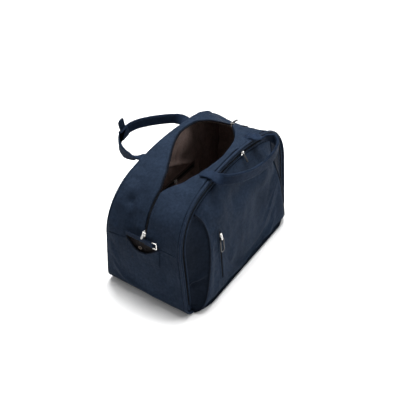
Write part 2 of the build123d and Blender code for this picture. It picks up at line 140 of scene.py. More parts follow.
def band_point(girth, depth_part, lift=0.0):
    """A point of the band between the front outline (0) and the rear outline (1), lifted outwards."""
    x_front, up_front = half_moon(girth, FRONT_RISE, -lift)
    x_rear, up_rear = half_moon(girth, REAR_RISE, -lift)
    return on_front(x_front, up_front).lerp(on_rear(x_rear, up_rear), depth_part)


def part_at(girth, depth):
    """How far across the band a given depth is at a girth."""
    front = band_point(girth, 0).y
    rear = band_point(girth, 1).y
    return (depth - front) / (rear - front)


# Where the worn band gives: centre, reach and height of each hollow or swell, in millimetres
HOLLOWS = [
    ((176, -4, 284), (26, 60, 60), -25),
    ((112, 74, 300), (66, 40, 60), 14),
    ((-60, 92, 300), (70, 26, 60), 3),
    ((-206, 54, 262), (13, 9, 40), -9),
    ((-192, 74, 276), (26, 12, 44), 6),
    ((-228, 40, 232), (16, 7, 40), -6),
    ((-232, 22, 206), (14, 6, 30), 4),
    ((-120, 66, 300), (70, 16, 60), -5),
    ((-238, -58, 170), (30, 34, 46), -5),
    ((-238, 70, 120), (30, 40, 60), 4),
    ((-240, -40, 70), (30, 60, 50), 3),
    ((-236, 26, 214), (30, 10, 34), -5),
    ((-150, -62, 300), (40, 26, 50), -4),
    ((238, -40, 120), (30, 60, 70), 4),
    ((236, 40, 200), (30, 30, 40), -6),
    ((215, -60, 250), (30, 30, 30), -4),
]
BAG_MIDDLE = (0, 0, 150)
SINK = 1.0


def slack(point):
    """How far the cloth stands in or out of its cut shape at a point."""
    total = 0
    for centre, reach, height in HOLLOWS:
        away = sum(((point[i] - centre[i]) / reach[i]) ** 2 for i in range(3))
        total += height * math.exp(-away)
    total += 4.6 * noise.noise(Vector(point) / 62)
    total += 3.2 * noise.noise(Vector((point[0] / 26, point[1] / 30, point[2] / 44)) + Vector((7, 3, 1)))
    if point[0] < -195:
        # Gathers beside the zip's left run
        beside = math.exp(-((point[1] - 14) / 22) ** 2) * smooth(188, 198, point[2]) * smooth(268, 236, point[2])
        total += 2.0 * beside * noise.noise(Vector((point[2] / 5.5, point[1] / 34, 21)))
        total -= 3.0 * beside
    return total * smooth(2, 40, point[2])


def worn_point(girth, across, lift=0.0):
    """A point lift mm above the worn band, and the way outwards there."""
    base = band_point(girth, across)
    return band_point(girth, across, slack(base) + lift), (band_point(girth, across, 5) - base).normalized()


def lay(name, columns, rows, place, size, weld=False):
    """A grid of cloth whose crossings are set by place(s, t); its UV map holds millimetres of cloth / 1000."""
    bpy.ops.object.select_all(action="DESELECT")
    bpy.ops.mesh.primitive_grid_add(x_subdivisions=columns, y_subdivisions=rows, size=1)
    piece = bpy.context.object
    piece.name = piece.data.name = name
    mesh = piece.data
    spots = []
    for vertex in mesh.vertices:
        spots.extend(place(vertex.co.x + 0.5, vertex.co.y + 0.5) * MM)
    for item in mesh.uv_layers[0].data:
        item.uv = (item.uv[0] * size[0] * MM, item.uv[1] * size[1] * MM)
    mesh.vertices.foreach_set("co", spots)
    mesh.update()
    if weld:
        bpy.ops.object.mode_set(mode="EDIT")
        bpy.ops.mesh.select_all(action="SELECT")
        bpy.ops.mesh.remove_doubles(threshold=0.00002)
        bpy.ops.object.mode_set(mode="OBJECT")
    return piece


def face_away(piece, centre, inwards=False):
    """Turns the cloth's right side away from a point, or towards it."""
    total = sum((face.normal.dot(face.center - Vector(centre) * MM) * face.area for face in piece.data.polygons))
    if (total < 0) != inwards:
        piece.data.flip_normals()

def select_only(piece):
    """Makes a piece the only one that the next operators work on."""
    bpy.ops.object.select_all(action="DESELECT")
    piece.select_set(True)
    bpy.context.view_layer.objects.active = piece


def close_ends(piece, open_ended=True):
    """Closes a swept piece's two ends and turns its faces outwards."""
    select_only(piece)
    bpy.ops.object.mode_set(mode="EDIT")
    bpy.ops.mesh.select_all(action="DESELECT")
    if open_ended:
        bpy.ops.mesh.select_non_manifold()
        bpy.ops.mesh.edge_face_add()
    bpy.ops.mesh.select_all(action="SELECT")
    bpy.ops.mesh.normals_make_consistent(inside=False)
    bpy.ops.object.mode_set(mode="OBJECT")
    bpy.ops.object.shade_smooth()
    return piece


def settle(piece, held, slack_part=0.02, frames=18, most=6.0, stiff=12.0):
    """Lets the cloth hang from its sewn edges under its own weight, no further than most mm."""
    start = [v.co.copy() for v in piece.data.vertices]
    group = piece.vertex_groups.new(name="sewn")
    group.add([v.index for v in piece.data.vertices if held(v.co / MM)], 1.0, "REPLACE")
    cloth = piece.modifiers.new("hang", "CLOTH")
    cloth.settings.quality = 6
    cloth.settings.mass = 0.25
    cloth.settings.tension_stiffness = stiff
    cloth.settings.compression_stiffness = stiff
    cloth.settings.shear_stiffness = 6
    cloth.settings.bending_stiffness = 1.2
    cloth.settings.shrink_min = -slack_part
    cloth.settings.shrink_max = -slack_part
    cloth.settings.vertex_group_mass = "sewn"
    cloth.point_cache.frame_start = 1
    cloth.point_cache.frame_end = frames
    scene = bpy.context.scene
    for count in range(1, frames + 1):
        scene.frame_set(count)
    hung = piece.evaluated_get(bpy.context.evaluated_depsgraph_get())
    moved = [v.co.copy() for v in hung.data.vertices]
    piece.modifiers.remove(cloth)
    scene.frame_set(1)
    for vertex, first, last in zip(piece.data.vertices, start, moved):
        step = (last - first) / MM
        if step.length > most:
            step = step.normalized() * most
        inward = (Vector(BAG_MIDDLE) * MM - first).normalized()
        sunk = step.dot(inward) - SINK
        if sunk > 0:
            step -= inward * sunk
        vertex.co = first + step * MM
    piece.vertex_groups.clear()
    piece.data.update()


def finish_cloth(piece, thickness, levels=1):
    """Gives laid cloth its thickness, behind the right side, and rounds it."""
    solid = piece.modifiers.new("thickness", "SOLIDIFY")
    solid.thickness = thickness * MM
    solid.offset = -1
    solid.use_rim = True
    if levels:
        round_off = piece.modifiers.new("round", "SUBSURF")
        round_off.levels = round_off.render_levels = levels
    select_only(piece)
    for modifier in list(piece.modifiers):
        bpy.ops.object.modifier_apply(modifier=modifier.name)
    bpy.ops.object.shade_smooth()


def surface(name, parts, wires):
    """A material from labelled shader nodes (key, type, label, frame, settings) and the wires between them."""
    material = bpy.data.materials.new(name)
    material.use_nodes = True
    tree = material.node_tree
    tree.nodes.clear()
    made = {}
    frames = {None: None}
    for step, (key, kind, label, group, settings) in enumerate(parts):
        node = made[key] = tree.nodes.new("ShaderNode" + kind)
        node.label = label
        if group not in frames:
            frames[group] = tree.nodes.new("NodeFrame")
            frames[group].label = group
        node.parent = frames[group]
        node.location = (220 * (step % 7), -260 * (step // 7))
        for setting, value in settings.items():
            if setting == "ramp":
                for element, (position, colour) in zip(node.color_ramp.elements, value):
                    element.position = position
                    element.color = (*colour, 1)
            elif isinstance(setting, int) or setting in node.inputs:
                node.inputs[setting].default_value = value
            else:
                setattr(node, setting, value)
    for wire in wires.strip().splitlines():
        start, output, end, entry = [int(word) if word.isdigit() else word
                                     for side in wire.split(" > ") for word in side.strip().split(".")]
        tree.links.new(made[start].outputs[output], made[end].inputs[entry])
    return material


def woven(name, deep, light, pitch, coords="UV", rough=0.78, sheen=0.012, relief=0.5, lean=1.0, shine=0.05):
    """Woven cloth: fine diagonal ribs crossed by threads, soft shade changes and a faint bloom."""
    weave = "weave"
    wear = "dye and wear"
    return surface(name, [
        ("where", "TexCoord", "cloth coordinates", None, {}),
        ("count", "Mapping", "thread count", weave, {"Scale": (0.314 / (pitch * MM),) * 3}),
        ("rib", "TexWave", "twill rib", weave,
         {"bands_direction": "DIAGONAL", "Scale": lean, "Distortion": 0.6, "Detail": 1.0}),
        ("thread", "TexWave", "cross thread", weave, {"bands_direction": "Y", "Scale": 0.8, "Distortion": 0.5}),
        ("slub", "TexNoise", "uneven yarn", weave, {"Scale": 900, "Detail": 2}),
        ("crossing", "Math", "rib over thread", weave, {"operation": "MULTIPLY"}),
        ("height", "Math", "weave height", weave, {"operation": "ADD"}),
        ("raised", "Bump", "weave relief", weave, {"Strength": relief, "Distance": 0.0003}),
        ("patch", "TexNoise", "broad shade", wear, {"Scale": 11, "Detail": 3}),
        ("lint", "TexNoise", "dust and rub", wear, {"Scale": 160, "Detail": 4}),
        ("blended", "Math", "shade and rub", wear, {"operation": "MULTIPLY"}),
        ("with_rib", "Math", "shade by rib", wear, {"operation": "MULTIPLY_ADD", 1: 0.35}),
        ("dye", "ValToRGB", "dye", wear, {"ramp": ((0.12, deep), (0.75, light))}),
        ("gloss", "MapRange", "rubbed gloss", wear, {"To Min": rough + 0.08, "To Max": rough - 0.12}),
        ("shader", "BsdfPrincipled", "cloth", None,
         {"Sheen Weight": sheen, "Sheen Roughness": 0.45, "Sheen Tint": (0.55, 0.68, 0.9, 1),
          "Specular IOR Level": shine}),
        ("out", "OutputMaterial", "surface", None, {}),
    ], f"""
        where.{coords} > count.Vector
        count.Vector > rib.Vector
        count.Vector > thread.Vector
        where.Object > slub.Vector
        where.Object > patch.Vector
        where.Object > lint.Vector
        rib.Fac > crossing.0
        thread.Fac > crossing.1
        crossing.0 > height.0
        slub.Fac > height.1
        height.0 > raised.Height
        patch.Fac > blended.0
        lint.Fac > blended.1
        rib.Fac > with_rib.0
        blended.0 > with_rib.2
        with_rib.0 > dye.Fac
        lint.Fac > gloss.Value
        dye.Color > shader.Base Color
        gloss.Result > shader.Roughness
        raised.Normal > shader.Normal
        shader.BSDF > out.Surface
    """)


def dress(piece, material, body, slot, *stands_for):
    """Gives a finished piece its cloth or metal and its body, and hides the nodes it stands for. The slot is not used.
    """
    piece.data.materials.clear()
    piece.data.materials.append(material)
    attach(piece, body)
    if stands_for:
        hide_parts(*stands_for)
    return piece


def sheet(name, columns, rows, place, size, thickness, material, slot, *stands_for,
          levels=1, centre=BAG_MIDDLE, inwards=False, weld=False, hang=None):
    """One piece of cloth of the shell: laid, turned, hung from its seams if asked, thickened and dressed."""
    piece = lay(name, columns, rows, place, size, weld)
    face_away(piece, centre, inwards)
    if hang:
        settle(piece, *hang)
    finish_cloth(piece, thickness, levels)
    return dress(piece, material, "shell", slot, *stands_for)


NAVY_DEEP = (0.0040, 0.0075, 0.0150)
NAVY_LIGHT = (0.0170, 0.0280, 0.0500)
TWILL_PITCH = 0.8
CLOTH = 2.4
ZIP_GAP = 5.0
twill = woven("navy twill", NAVY_DEEP, NAVY_LIGHT, TWILL_PITCH)


def rear_half(s, t):
    girth = SEAM + (GIRTH - 2 * SEAM) * s
    first = part_at(girth, edge_depth(girth, rear_rim, ZIP_GAP, ZIP_GAP))
    across = first + (1 - first) * t
    free = smooth(0, 0.06, 1 - t)
    return band_point(girth, across, slack(band_point(girth, across)) * (0.3 + 0.7 * free))


def rear_gusset_sewn(p):
    rim = rear_rim(min(max(p.x, MOUTH_LEFT), MOUTH_RIGHT))
    return (p.y > 80 or p.z < 193 or abs(p.y - ZIP_Y) < 8
            or MOUTH_LEFT - 3 < p.x < MOUTH_RIGHT + 3 and p.y < rim + 8)


sheet("rear_gusset", 132, 26, rear_half, (614, 120), CLOTH, twill, "navy_twill", "gusset_rear",
      hang=(rear_gusset_sewn, 0.015))

# ------------------------------------------------------------------ front gusset and mouth flap
# The front half of the band. Round the mouth it is folded back over a soft edge and hangs
# inside as a flap; along the zip's runs only a few millimetres are turned under.
FOLD_R = 2.6
FLAP_DROP = 27
FLAT_PART = 0.66
CURL_PART = 0.12


def mouth_fold(girth):
    """At the front half's folded edge: x, how far across it lies, its place on the worn band, and outwards."""
    x = half_moon(girth, FRONT_RISE)[0]
    last = part_at(girth, edge_depth(girth, front_rim, -ZIP_GAP, -FOLD_R))
    edge = band_point(girth, last)
    return x, last, band_point(girth, last, slack(edge)), (band_point(girth, last, 1) - edge).normalized()


def front_half(s, t):
    girth = SEAM + (GIRTH - 2 * SEAM) * s
    x, last, base, outward = mouth_fold(girth)
    if t <= FLAT_PART:
        u = t / FLAT_PART
        free = smooth(0, 0.08, u)
        return band_point(girth, last * u, slack(band_point(girth, last * u)) * (0.35 + 0.65 * free))
    angle = min((t - FLAT_PART) / CURL_PART, 1) * math.pi / 2
    drop = max(t - FLAT_PART - CURL_PART, 0) / (1 - FLAT_PART - CURL_PART)
    in_mouth = smooth(MOUTH_LEFT + 2, MOUTH_LEFT + 34, x) * smooth(MOUTH_RIGHT - 2, MOUTH_RIGHT - 34, x)
    deep = 3 + (FLAP_DROP - 3) * in_mouth
    curl = Vector((0, 1, 0)) * FOLD_R * math.sin(angle) - outward * FOLD_R * (1 - math.cos(angle))
    hang = -outward * deep * drop + Vector((0, -1, 0)) * 3 * drop * smooth(4, 20, deep)
    wave = 1.4 * math.sin(x / 17) * drop * smooth(4, 20, deep)
    return base + curl + hang + Vector((0, wave, 0))


sheet("front_gusset", 132, 34, front_half, (614, 150), CLOTH - 0.6, twill, "navy_twill", "gusset_front", "mouth_flap")

# ------------------------------------------------------------------ end panels and bottom
# One strip of twill runs from the seam on the left end, under the bag and up the right end.
# It is cut in three: an end panel each side and a stiffened bottom that stands on the ground.
END_LOW = 200


def lower_band(low, high):
    def place(s, t):
        girth = low + (high - low) * s
        point = band_point(girth, t)
        free = smooth(0, 0.06, t) * smooth(0, 0.06, 1 - t)
        return band_point(girth, t, slack(point) * (0.35 + 0.65 * free))
    return place


def end_sewn(p):
    return p.z < 30 or p.z > 180 or abs(p.y) > 98 - 0.05 * p.z


for name, low, high in (("left_end", END_LOW, SEAM + 1.5), ("right_end", GIRTH - SEAM - 1.5, GIRTH - END_LOW)):
    sheet(name, 46, 46, lower_band(low, high), (214, 226), CLOTH, twill, "navy_twill", name + "_panel",
          hang=(end_sewn, 0.012, 14, 4))
sheet("bottom", 60, 30, lower_band(-END_LOW - 1, END_LOW + 1), (402, 228), CLOTH, twill, "navy_twill", "bottom_panel")

# ------------------------------------------------------------------ seams across the ends
# The gussets are lapped over the end panels and topstitched: a low ridge with a line of
# thread, at the height of the end tabs.


def run_lengths(points):
    """Lengths along a route from its first point to each of them."""
    lengths = [0.0]
    for a, b in zip(points, points[1:]):
        lengths.append(lengths[-1] + (b - a).length)
    return lengths


def find_on(lengths, want):
    """Which stretch of a route a length falls in, and how far through the stretch it is."""
    i = 0
    while i < len(lengths) - 2 and lengths[i + 1] < want:
        i += 1
    return i, (want - lengths[i]) / max(lengths[i + 1] - lengths[i], 1e-6)


thread_navy = woven("navy thread", (0.006, 0.011, 0.02), (0.03, 0.045, 0.075), 0.4, "Object", 0.55, 0.03, 0.3)


def stitches(name, points, outs, slot, body="shell", stride=4.2, length=2.6, width=0.55):
    """A row of topstitches along a path; every stitch is a small rounded bar lying on the cloth."""
    lengths = run_lengths(points)
    spots = []
    faces = []
    at = stride / 2
    while at < lengths[-1]:
        index, part = find_on(lengths, at)
        spot = points[index].lerp(points[index + 1], part)
        along = (points[index + 1] - points[index]).normalized()
        out = outs[index].lerp(outs[index + 1], part).normalized()
        side = along.cross(out)
        first = len(spots)
        for reach, swell in ((-0.5, 0.35), (-0.3, 1), (0.3, 1), (0.5, 0.35)):
            middle = spot + along * reach * length
            for spread, rise in ((-1, 0), (-0.5, 0.8), (0.5, 0.8), (1, 0)):
                spots.append((middle + side * spread * width * swell + out * (rise * swell * width - 0.12)) * MM)
        for ring in range(3):
            for k in range(4):
                a = first + ring * 4 + k
                b = first + ring * 4 + (k + 1) % 4
                faces.append((a, b, b + 4, a + 4))
        faces.append((first + 3, first + 2, first + 1, first))
        faces.append((first + 12, first + 13, first + 14, first + 15))
        at += stride
    mesh = bpy.data.meshes.new(name)
    mesh.from_pydata(spots, [], faces)
    mesh.update()
    piece = bpy.data.objects.new(name, mesh)
    bpy.context.scene.collection.objects.link(piece)
    return dress(close_ends(piece, False), thread_navy, body, slot)


def band_row(low, high, depth_of, lift=0.25, step=4):
    """Points and outward directions of a row along the band."""
    count = int((high - low) / step) + 1
    girths = [low + step * k for k in range(count)]
    return zip(*[worn_point(girth, part_at(girth, depth_of(girth)), lift) for girth in girths])


def beside_run(girth):
    return ZIP_Y - ZIP_GAP - 3.2


stitches("rear_zip_topstitch", *band_row(SEAM + 2, GIRTH - SEAM - 2,
         lambda girth: edge_depth(girth, rear_rim, ZIP_GAP + 2.6, ZIP_GAP + 2.6)), "navy_twill")
stitches("front_zip_topstitch_left", *band_row(SEAM + 2, 507, beside_run), "navy_twill")
stitches("front_zip_topstitch_right", *band_row(856, GIRTH - SEAM - 2, beside_run), "navy_twill")

for name, girth, down in (("left", SEAM, -1), ("right", GIRTH - SEAM, 1)):
    def ridge(s, t, girth=girth, down=down):
        height = 0.2 + 0.9 * math.sin(math.pi * t) ** 0.6
        return worn_point(girth + 3 * down * (1 - t), 0.02 + 0.96 * s, height)[0]

    sheet("end_seam_" + name, 60, 4, ridge, (220, 4), 0.8, twill, "navy_twill")
    row = [worn_point(girth + 5 * down, 0.03 + 0.94 * k / 60, 0.3) for k in range(61)]
    stitches("end_seam_topstitch_" + name, *zip(*row), "navy_twill")

# ------------------------------------------------------------------ rear wall
# The rear face is one half-moon of twill, slightly full, sewn into the rear piping.


def patch_point(bottom, top, left, right, s, t):
    """A point of the cloth stretched between four edges."""
    level = bottom(s) * (1 - t) + top(s) * t
    upright = left(t) * (1 - s) + right(t) * s
    corners = (bottom(0) * (1 - s) * (1 - t) + bottom(1) * s * (1 - t)
               + top(0) * (1 - s) * t + top(1) * s * t)
    return level + upright - corners


def half_moon_patch(rise, inset, s, t):
    """(x, up) inside a face's outline, s across and t up."""
    def edge(girth):
        return Vector(half_moon(girth, rise, inset))
    return patch_point(lambda u: edge(232 - 464 * u), lambda u: edge(576 + 288 * u),
                       lambda u: edge(232 + 344 * u), lambda u: edge(1208 - 344 * u), s, t)


def dented(table, x, up):
    """Total height of the dents and swells of a face at a point of it."""
    return sum(height * math.exp(-((x - centre[0]) / reach[0]) ** 2 - ((up - centre[1]) / reach[1]) ** 2)
               for centre, reach, height in table)


REAR_DENTS = [((60, 196), (90, 40), -2.5), ((-90, 120), (70, 80), 6), ((110, 80), (60, 50), 5),
              ((-10, 262), (150, 18), -1.5)]


def rear_face(s, t):
    x, up = half_moon_patch(REAR_RISE, 2, s, t)
    free = smooth(0, 0.14, s) * smooth(0, 0.14, 1 - s) * smooth(0, 0.1, t) * smooth(0, 0.12, 1 - t)
    out = 3.0 + 2.0 * noise.noise(Vector((x / 70, up / 60, 4))) + 1.0 * noise.noise(Vector((x / 26, up / 34, 9)))
    return on_rear(x, up, (out + dented(REAR_DENTS, x, up)) * free)


def rear_wall_sewn(p):
    at_shoulder = p.z > 175 and abs(p.x) > 110 and math.hypot(abs(p.x) - 110, p.z - 175) > 118
    return p.z < 14 or abs(p.x) > 222 or p.z > 296 or at_shoulder


sheet("rear_wall_cloth", 84, 60, rear_face, (470, 310), CLOTH, twill, "navy_twill", "rear_wall",
      hang=(rear_wall_sewn, 0.012, 14, 4))

# ------------------------------------------------------------------ front wall
# The face behind the front compartment, flat twill sewn into the front piping.


def front_face(s, t):
    return on_front(*half_moon_patch(FRONT_RISE, 2, s, t))


sheet("front_wall_cloth", 70, 50, front_face, (470, 320), CLOTH, twill, "navy_twill", "front_wall", levels=0)

# ------------------------------------------------------------------ piping
# A cord of 6 mm covered with bias-cut twill outlines the front face and the rear face.
# Its seam allowance shows as a shallow groove beside it; the groove's shade is painted further on by a thin dark cord.
PIPING_R = 3.0


def tube(name, route, radius, sides=10, closed=True, flat=1.0, columns=None, turn_up=None):
    """A round or flattened cord swept along route(s); turn_up(s) sets the flat direction."""
    columns = columns or 200
    step = 0.5 / columns

    def place(s, t):
        spot = route(s)
        ahead = route((s + step) % 1 if closed else min(s + step, 1))
        behind = route((s - step) % 1 if closed else max(s - step, 0))
        along = (ahead - behind).normalized()
        up = turn_up(s) if turn_up else Vector((0, 1, 0))
        side = along.cross(up).normalized()
        over = side.cross(along).normalized()
        angle = 2 * math.pi * t
        r = radius(s) if callable(radius) else radius
        return spot + side * r * math.cos(angle) + over * r * flat * math.sin(angle)

    total = sum((route((k + 1) / 60 if k < 59 or not closed else 0) - route(k / 60)).length for k in range(60))
    piece = lay(name, columns, sides, place, (total, 20), weld=True)
    return close_ends(piece, not closed)

def outline_cord(spot, rise, inset, out):
    """A route round a face's outline, inset from it and standing out from the face."""
    def at(s):
        return spot(*half_moon(GIRTH * s, rise, inset), out)
    return at


bias = woven("bias piping", (0.0045, 0.0082, 0.0165), (0.0190, 0.0310, 0.0560), 0.7, "UV", 0.66, 0.012, 0.4)
for name, spot, rise in (("front", on_front, FRONT_RISE), ("rear", on_rear, REAR_RISE)):
    cord = tube(name + "_piping", outline_cord(spot, rise, PIPING_R, PIPING_R), PIPING_R, columns=360)
    dress(cord, bias, "shell", "navy_piping", "piping_" + name)

# ------------------------------------------------------------------ front zip
# A nylon coil zip follows the front outline between two lips of twill: the outer lip is part
# of the front face, the inner one edges the compartment. It starts above the foot on each side.
LOW_GIRTH = 256
HIGH_GIRTH = GIRTH - LOW_GIRTH
COIL_INSET = 18


def ring_strip(inner, outer, shape):
    """Cloth laid along the front outline from one inset to another; shape(t) gives its stand-out."""
    def place(s, t):
        girth = LOW_GIRTH + (HIGH_GIRTH - LOW_GIRTH) * s
        inset = outer + (inner - outer) * t
        x, up = half_moon(girth, FRONT_RISE, inset)
        return on_front(x, up, shape(t))
    return place


tape_cloth = woven("zip tape", (0.0012, 0.0022, 0.0045), (0.006, 0.010, 0.018), 0.5, "UV", 0.7, 0.01, 0.5, 0.4)
sheet("front_tape", 240, 4, ring_strip(24, 12, lambda t: 1.4), (960, 12), 0.8, tape_cloth, "zip_tape",
      "front_zip_tape", levels=0)
# Sections of the two lips: how far in from the outline, and how far out
OUTER_LIP = [(7.8, 0.2), (8.6, 2.6), (10.4, 3.6), (13.0, 3.8), (14.4, 3.2), (14.9, 1.7)]
INNER_LIP = [(27.5, 0.6), (26.4, 2.8), (24.8, 3.6), (22.6, 3.4), (21.4, 2.8), (21.0, 1.7)]


def profile(table, t):
    """Reads a table of pairs at t between 0 and 1, smoothly enough for cloth."""
    place = t * (len(table) - 1)
    index = min(int(place), len(table) - 2)
    part = place - index
    return tuple(a + (b - a) * part for a, b in zip(table[index], table[index + 1]))


def lip(section, spare, wander, ripple, wave, seed):
    """A folded lip beside the zip, spare mm longer than it at each end, with a slightly uneven edge."""
    def place(s, t):
        girth = LOW_GIRTH - spare + (HIGH_GIRTH - LOW_GIRTH + 2 * spare) * s
        inset, out = profile(section, t)
        inset += wander * noise.noise(Vector((girth / 40, 0, 2)))
        return on_front(*half_moon(girth, FRONT_RISE, inset),
                        out + ripple * noise.noise(Vector((girth / wave, t, seed))))
    return place


for name, place in (("outer_lip", lip(OUTER_LIP, 26, 0.5, 0.6, 55, 5)), ("inner_lip", lip(INNER_LIP, -4, 0, 0.4, 45, 9))):
    sheet(name, 260, 8, place, (960, 12), 1.0, twill, "navy_twill")


def plastic(name, colour, rough, speck=0.25, coat=0.0, fleck_scale=900, shine=0.5):
    """Moulded or drawn plastic, slightly uneven in colour and gloss."""
    skin = "moulded skin"
    return surface(name, [
        ("where", "TexCoord", "part coordinates", None, {}),
        ("cloud", "TexNoise", "uneven pigment", skin, {"Scale": 60}),
        ("grain", "TexNoise", "mould grain", skin, {"Scale": fleck_scale}),
        ("shade", "ValToRGB", "pigment", skin,
         {"ramp": ((0, [c * (1 - speck) for c in colour]), (1, [c * (1 + speck) for c in colour]))}),
        ("wear", "MapRange", "handled gloss", skin, {"To Min": rough * 0.8, "To Max": rough * 1.2}),
        ("relief", "Bump", "grain relief", skin, {"Strength": 0.15, "Distance": 0.0002}),
        ("shader", "BsdfPrincipled", "plastic", None, {"Coat Weight": coat, "Specular IOR Level": shine}),
        ("out", "OutputMaterial", "surface", None, {}),
    ], """
        where.Object > cloud.Vector
        where.Object > grain.Vector
        cloud.Fac > shade.Fac
        cloud.Fac > wear.Value
        grain.Fac > relief.Height
        shade.Color > shader.Base Color
        wear.Result > shader.Roughness
        relief.Normal > shader.Normal
        shader.BSDF > out.Surface
    """)


nylon = plastic("nylon coil", (0.0025, 0.0036, 0.0062), 0.6, shine=0.12)
COIL_PITCH = 1.9
COIL_WIRE_R = 0.42


def coil(name, route, length, *stands_for, width=1.5, height=0.9):
    """A zip coil: one flattened spiral of nylon wire, route(mm) giving its place, side and out directions."""
    turns = int(length / COIL_PITCH)

    def place(s, t):
        spot, side, out = route(min(s * turns * COIL_PITCH, length))
        phase = 2 * math.pi * s * turns
        along = out.cross(side)
        centre = spot + side * width * math.cos(phase) + out * height * math.sin(phase)
        ring = 2 * math.pi * t
        radial = (side * math.cos(phase) + out * math.sin(phase)).normalized()
        return centre + radial * COIL_WIRE_R * math.cos(ring) + along * COIL_WIRE_R * math.sin(ring)

    piece = lay(name, turns * 8, 5, place, (turns * COIL_PITCH, 3), weld=True)
    bpy.ops.object.shade_smooth()
    dress(piece, nylon, "shell", "zip_coil", *stands_for)


FRONT_COIL_LENGTH = 905
FACE_OUT = (on_front(0, 0, 1) - on_front(0, 0, 0)).normalized()


def front_coil_route(at):
    girth = LOW_GIRTH + at * (HIGH_GIRTH - LOW_GIRTH) / FRONT_COIL_LENGTH
    x, up = half_moon(girth, FRONT_RISE, COIL_INSET)
    side = (on_front(*half_moon(girth, FRONT_RISE, COIL_INSET + 1)) - on_front(x, up)).normalized()
    out = (on_front(x, up, 1) - on_front(x, up)).normalized()
    return on_front(x, up, 2.3), side, out


coil("front_coil", front_coil_route, FRONT_COIL_LENGTH, "front_zip_coil", width=1.7)

# ------------------------------------------------------------------ front compartment panel
# A full panel of twill bulges about 30 mm from the front face. Its top follows the zip; its
# sides are bound edges that open like a bellows, and its foot turns under to the front wall.


def curve_through(spots):
    """A smooth route through points, evenly run by length."""
    spots = [Vector(p) for p in spots]
    lengths = run_lengths(spots)

    def at(s):
        i, u = find_on(lengths, min(max(s, 0), 1) * lengths[-1])
        p1, p2 = spots[i], spots[i + 1]
        span = lengths[i + 1] - lengths[i]
        m1 = (p2 - spots[i - 1]) / (lengths[i + 1] - lengths[i - 1]) * span if i else p2 - p1
        m2 = (spots[i + 2] - p1) / (lengths[i + 2] - lengths[i]) * span if i + 2 < len(spots) else p2 - p1
        return (p1 * (2 * u ** 3 - 3 * u ** 2 + 1) + m1 * (u ** 3 - 2 * u ** 2 + u)
                + p2 * (3 * u ** 2 - 2 * u ** 3) + m2 * (u ** 3 - u ** 2))
    return at


APEX_GIRTH = 527
BOUND_EDGE = [(-211, 3, 6), (-206, 9, 17), (-197, 22, 25), (-187, 50, 30), (-174, 105, 33), (-163, 160, 32),
              (-155, 205, 24), (-157, 238, 13), (-170, 263, 3)]
left_edge = curve_through(BOUND_EDGE)
right_edge = curve_through([(-x, up, out) for x, up, out in BOUND_EDGE])
FOOT_TURN = 0.08
PANEL_DENTS = [((0, 236), (76, 24), -12), ((-104, 232), (24, 22), 4), ((96, 214), (34, 44), 8),
               ((64, 150), (26, 70), -5), ((150, 110), (30, 60), -6), ((-30, 110), (50, 60), 3),
               ((-60, 36), (60, 24), -5), ((70, 36), (70, 24), -5), ((-140, 208), (16, 30), -4)]
WELT_X = -118


def zip_depth(x, up):
    """How far inside the zip's line a point of the front lies."""
    depths = [213 - abs(x), 543 - math.hypot(x, up + 245.7)]
    if up > 180 and abs(x) > 110:
        depths.append(103 - math.hypot(abs(x) - 110, up - 180.3))
    return max(min(depths), 0)


def foot_spot(u):
    """The panel's foot from its left corner to its right one, round at both corners."""
    full = min(3.2 * max(math.sin(math.pi * u), 0), 1)
    return Vector((-211 + 422 * u, 3 + 2 * full, 6 + 20 * full ** 0.7))


def panel_face(s, t):
    def head(u):
        x, up = half_moon(APEX_GIRTH + (GIRTH - 2 * APEX_GIRTH) * u, FRONT_RISE, 26)
        return Vector((x, up, 3))

    v = max((t - FOOT_TURN) / (1 - FOOT_TURN), 0)
    x, up, out = patch_point(foot_spot, head, left_edge, right_edge, s, v)
    full = 3 + 27 * (1 - (1 - min(zip_depth(x, up) / 66, 1)) ** 2)
    full -= 9 * (1 - smooth(4, 30, up)) ** 2
    inside = smooth(0, 0.10, s) * smooth(0, 0.10, 1 - s) * smooth(0, 0.02, v)
    out += (full - out) * inside
    calm = 1 - math.exp(-((x - WELT_X) / 16) ** 4) * smooth(24, 44, up) * smooth(222, 204, up)
    soft = inside * smooth(0, 0.12, 1 - v) * calm
    out += soft * dented(PANEL_DENTS, x, up)
    out += soft * (3.6 * noise.noise(Vector((x / 58, up / 70, 1))) + 2.6 * noise.noise(Vector((x / 26, up / 44, 6))))
    under = 1 - min(t / FOOT_TURN, 1)
    return on_front(x, up - 2.5 * math.sin(under * math.pi / 2), out * (1 - under * 0.92))


def panel_sewn(p):
    up = p.z / math.cos(FRONT_LEAN)
    return up < 14 or zip_depth(p.x, up) < 9 or abs(p.x) > 152 or abs(p.x - WELT_X) < 15 and 36 < up < 206


sheet("pocket_panel", 104, 74, panel_face, (410, 310), CLOTH - 0.4, twill, "navy_twill", "front_pocket_panel",
      hang=(panel_sewn, 0.02, 18, 5))

# ------------------------------------------------------------------ bellows at the compartment's sides
# Each side of the compartment is a wedge of twill between the zip and the panel's bound edge.
# It folds when the compartment is flat, so it keeps a crease across and a seam near the foot.
ZIP_SIDE = [(-211, 5), (-213.5, 22), (-214, 60), (-214, 120), (-213.6, 186)]
ZIP_SIDE += [half_moon(girth, FRONT_RISE, 26) for girth in (440, 470, 500, APEX_GIRTH)]
zip_edge = curve_through([(x, up, 2.2) for x, up in ZIP_SIDE])


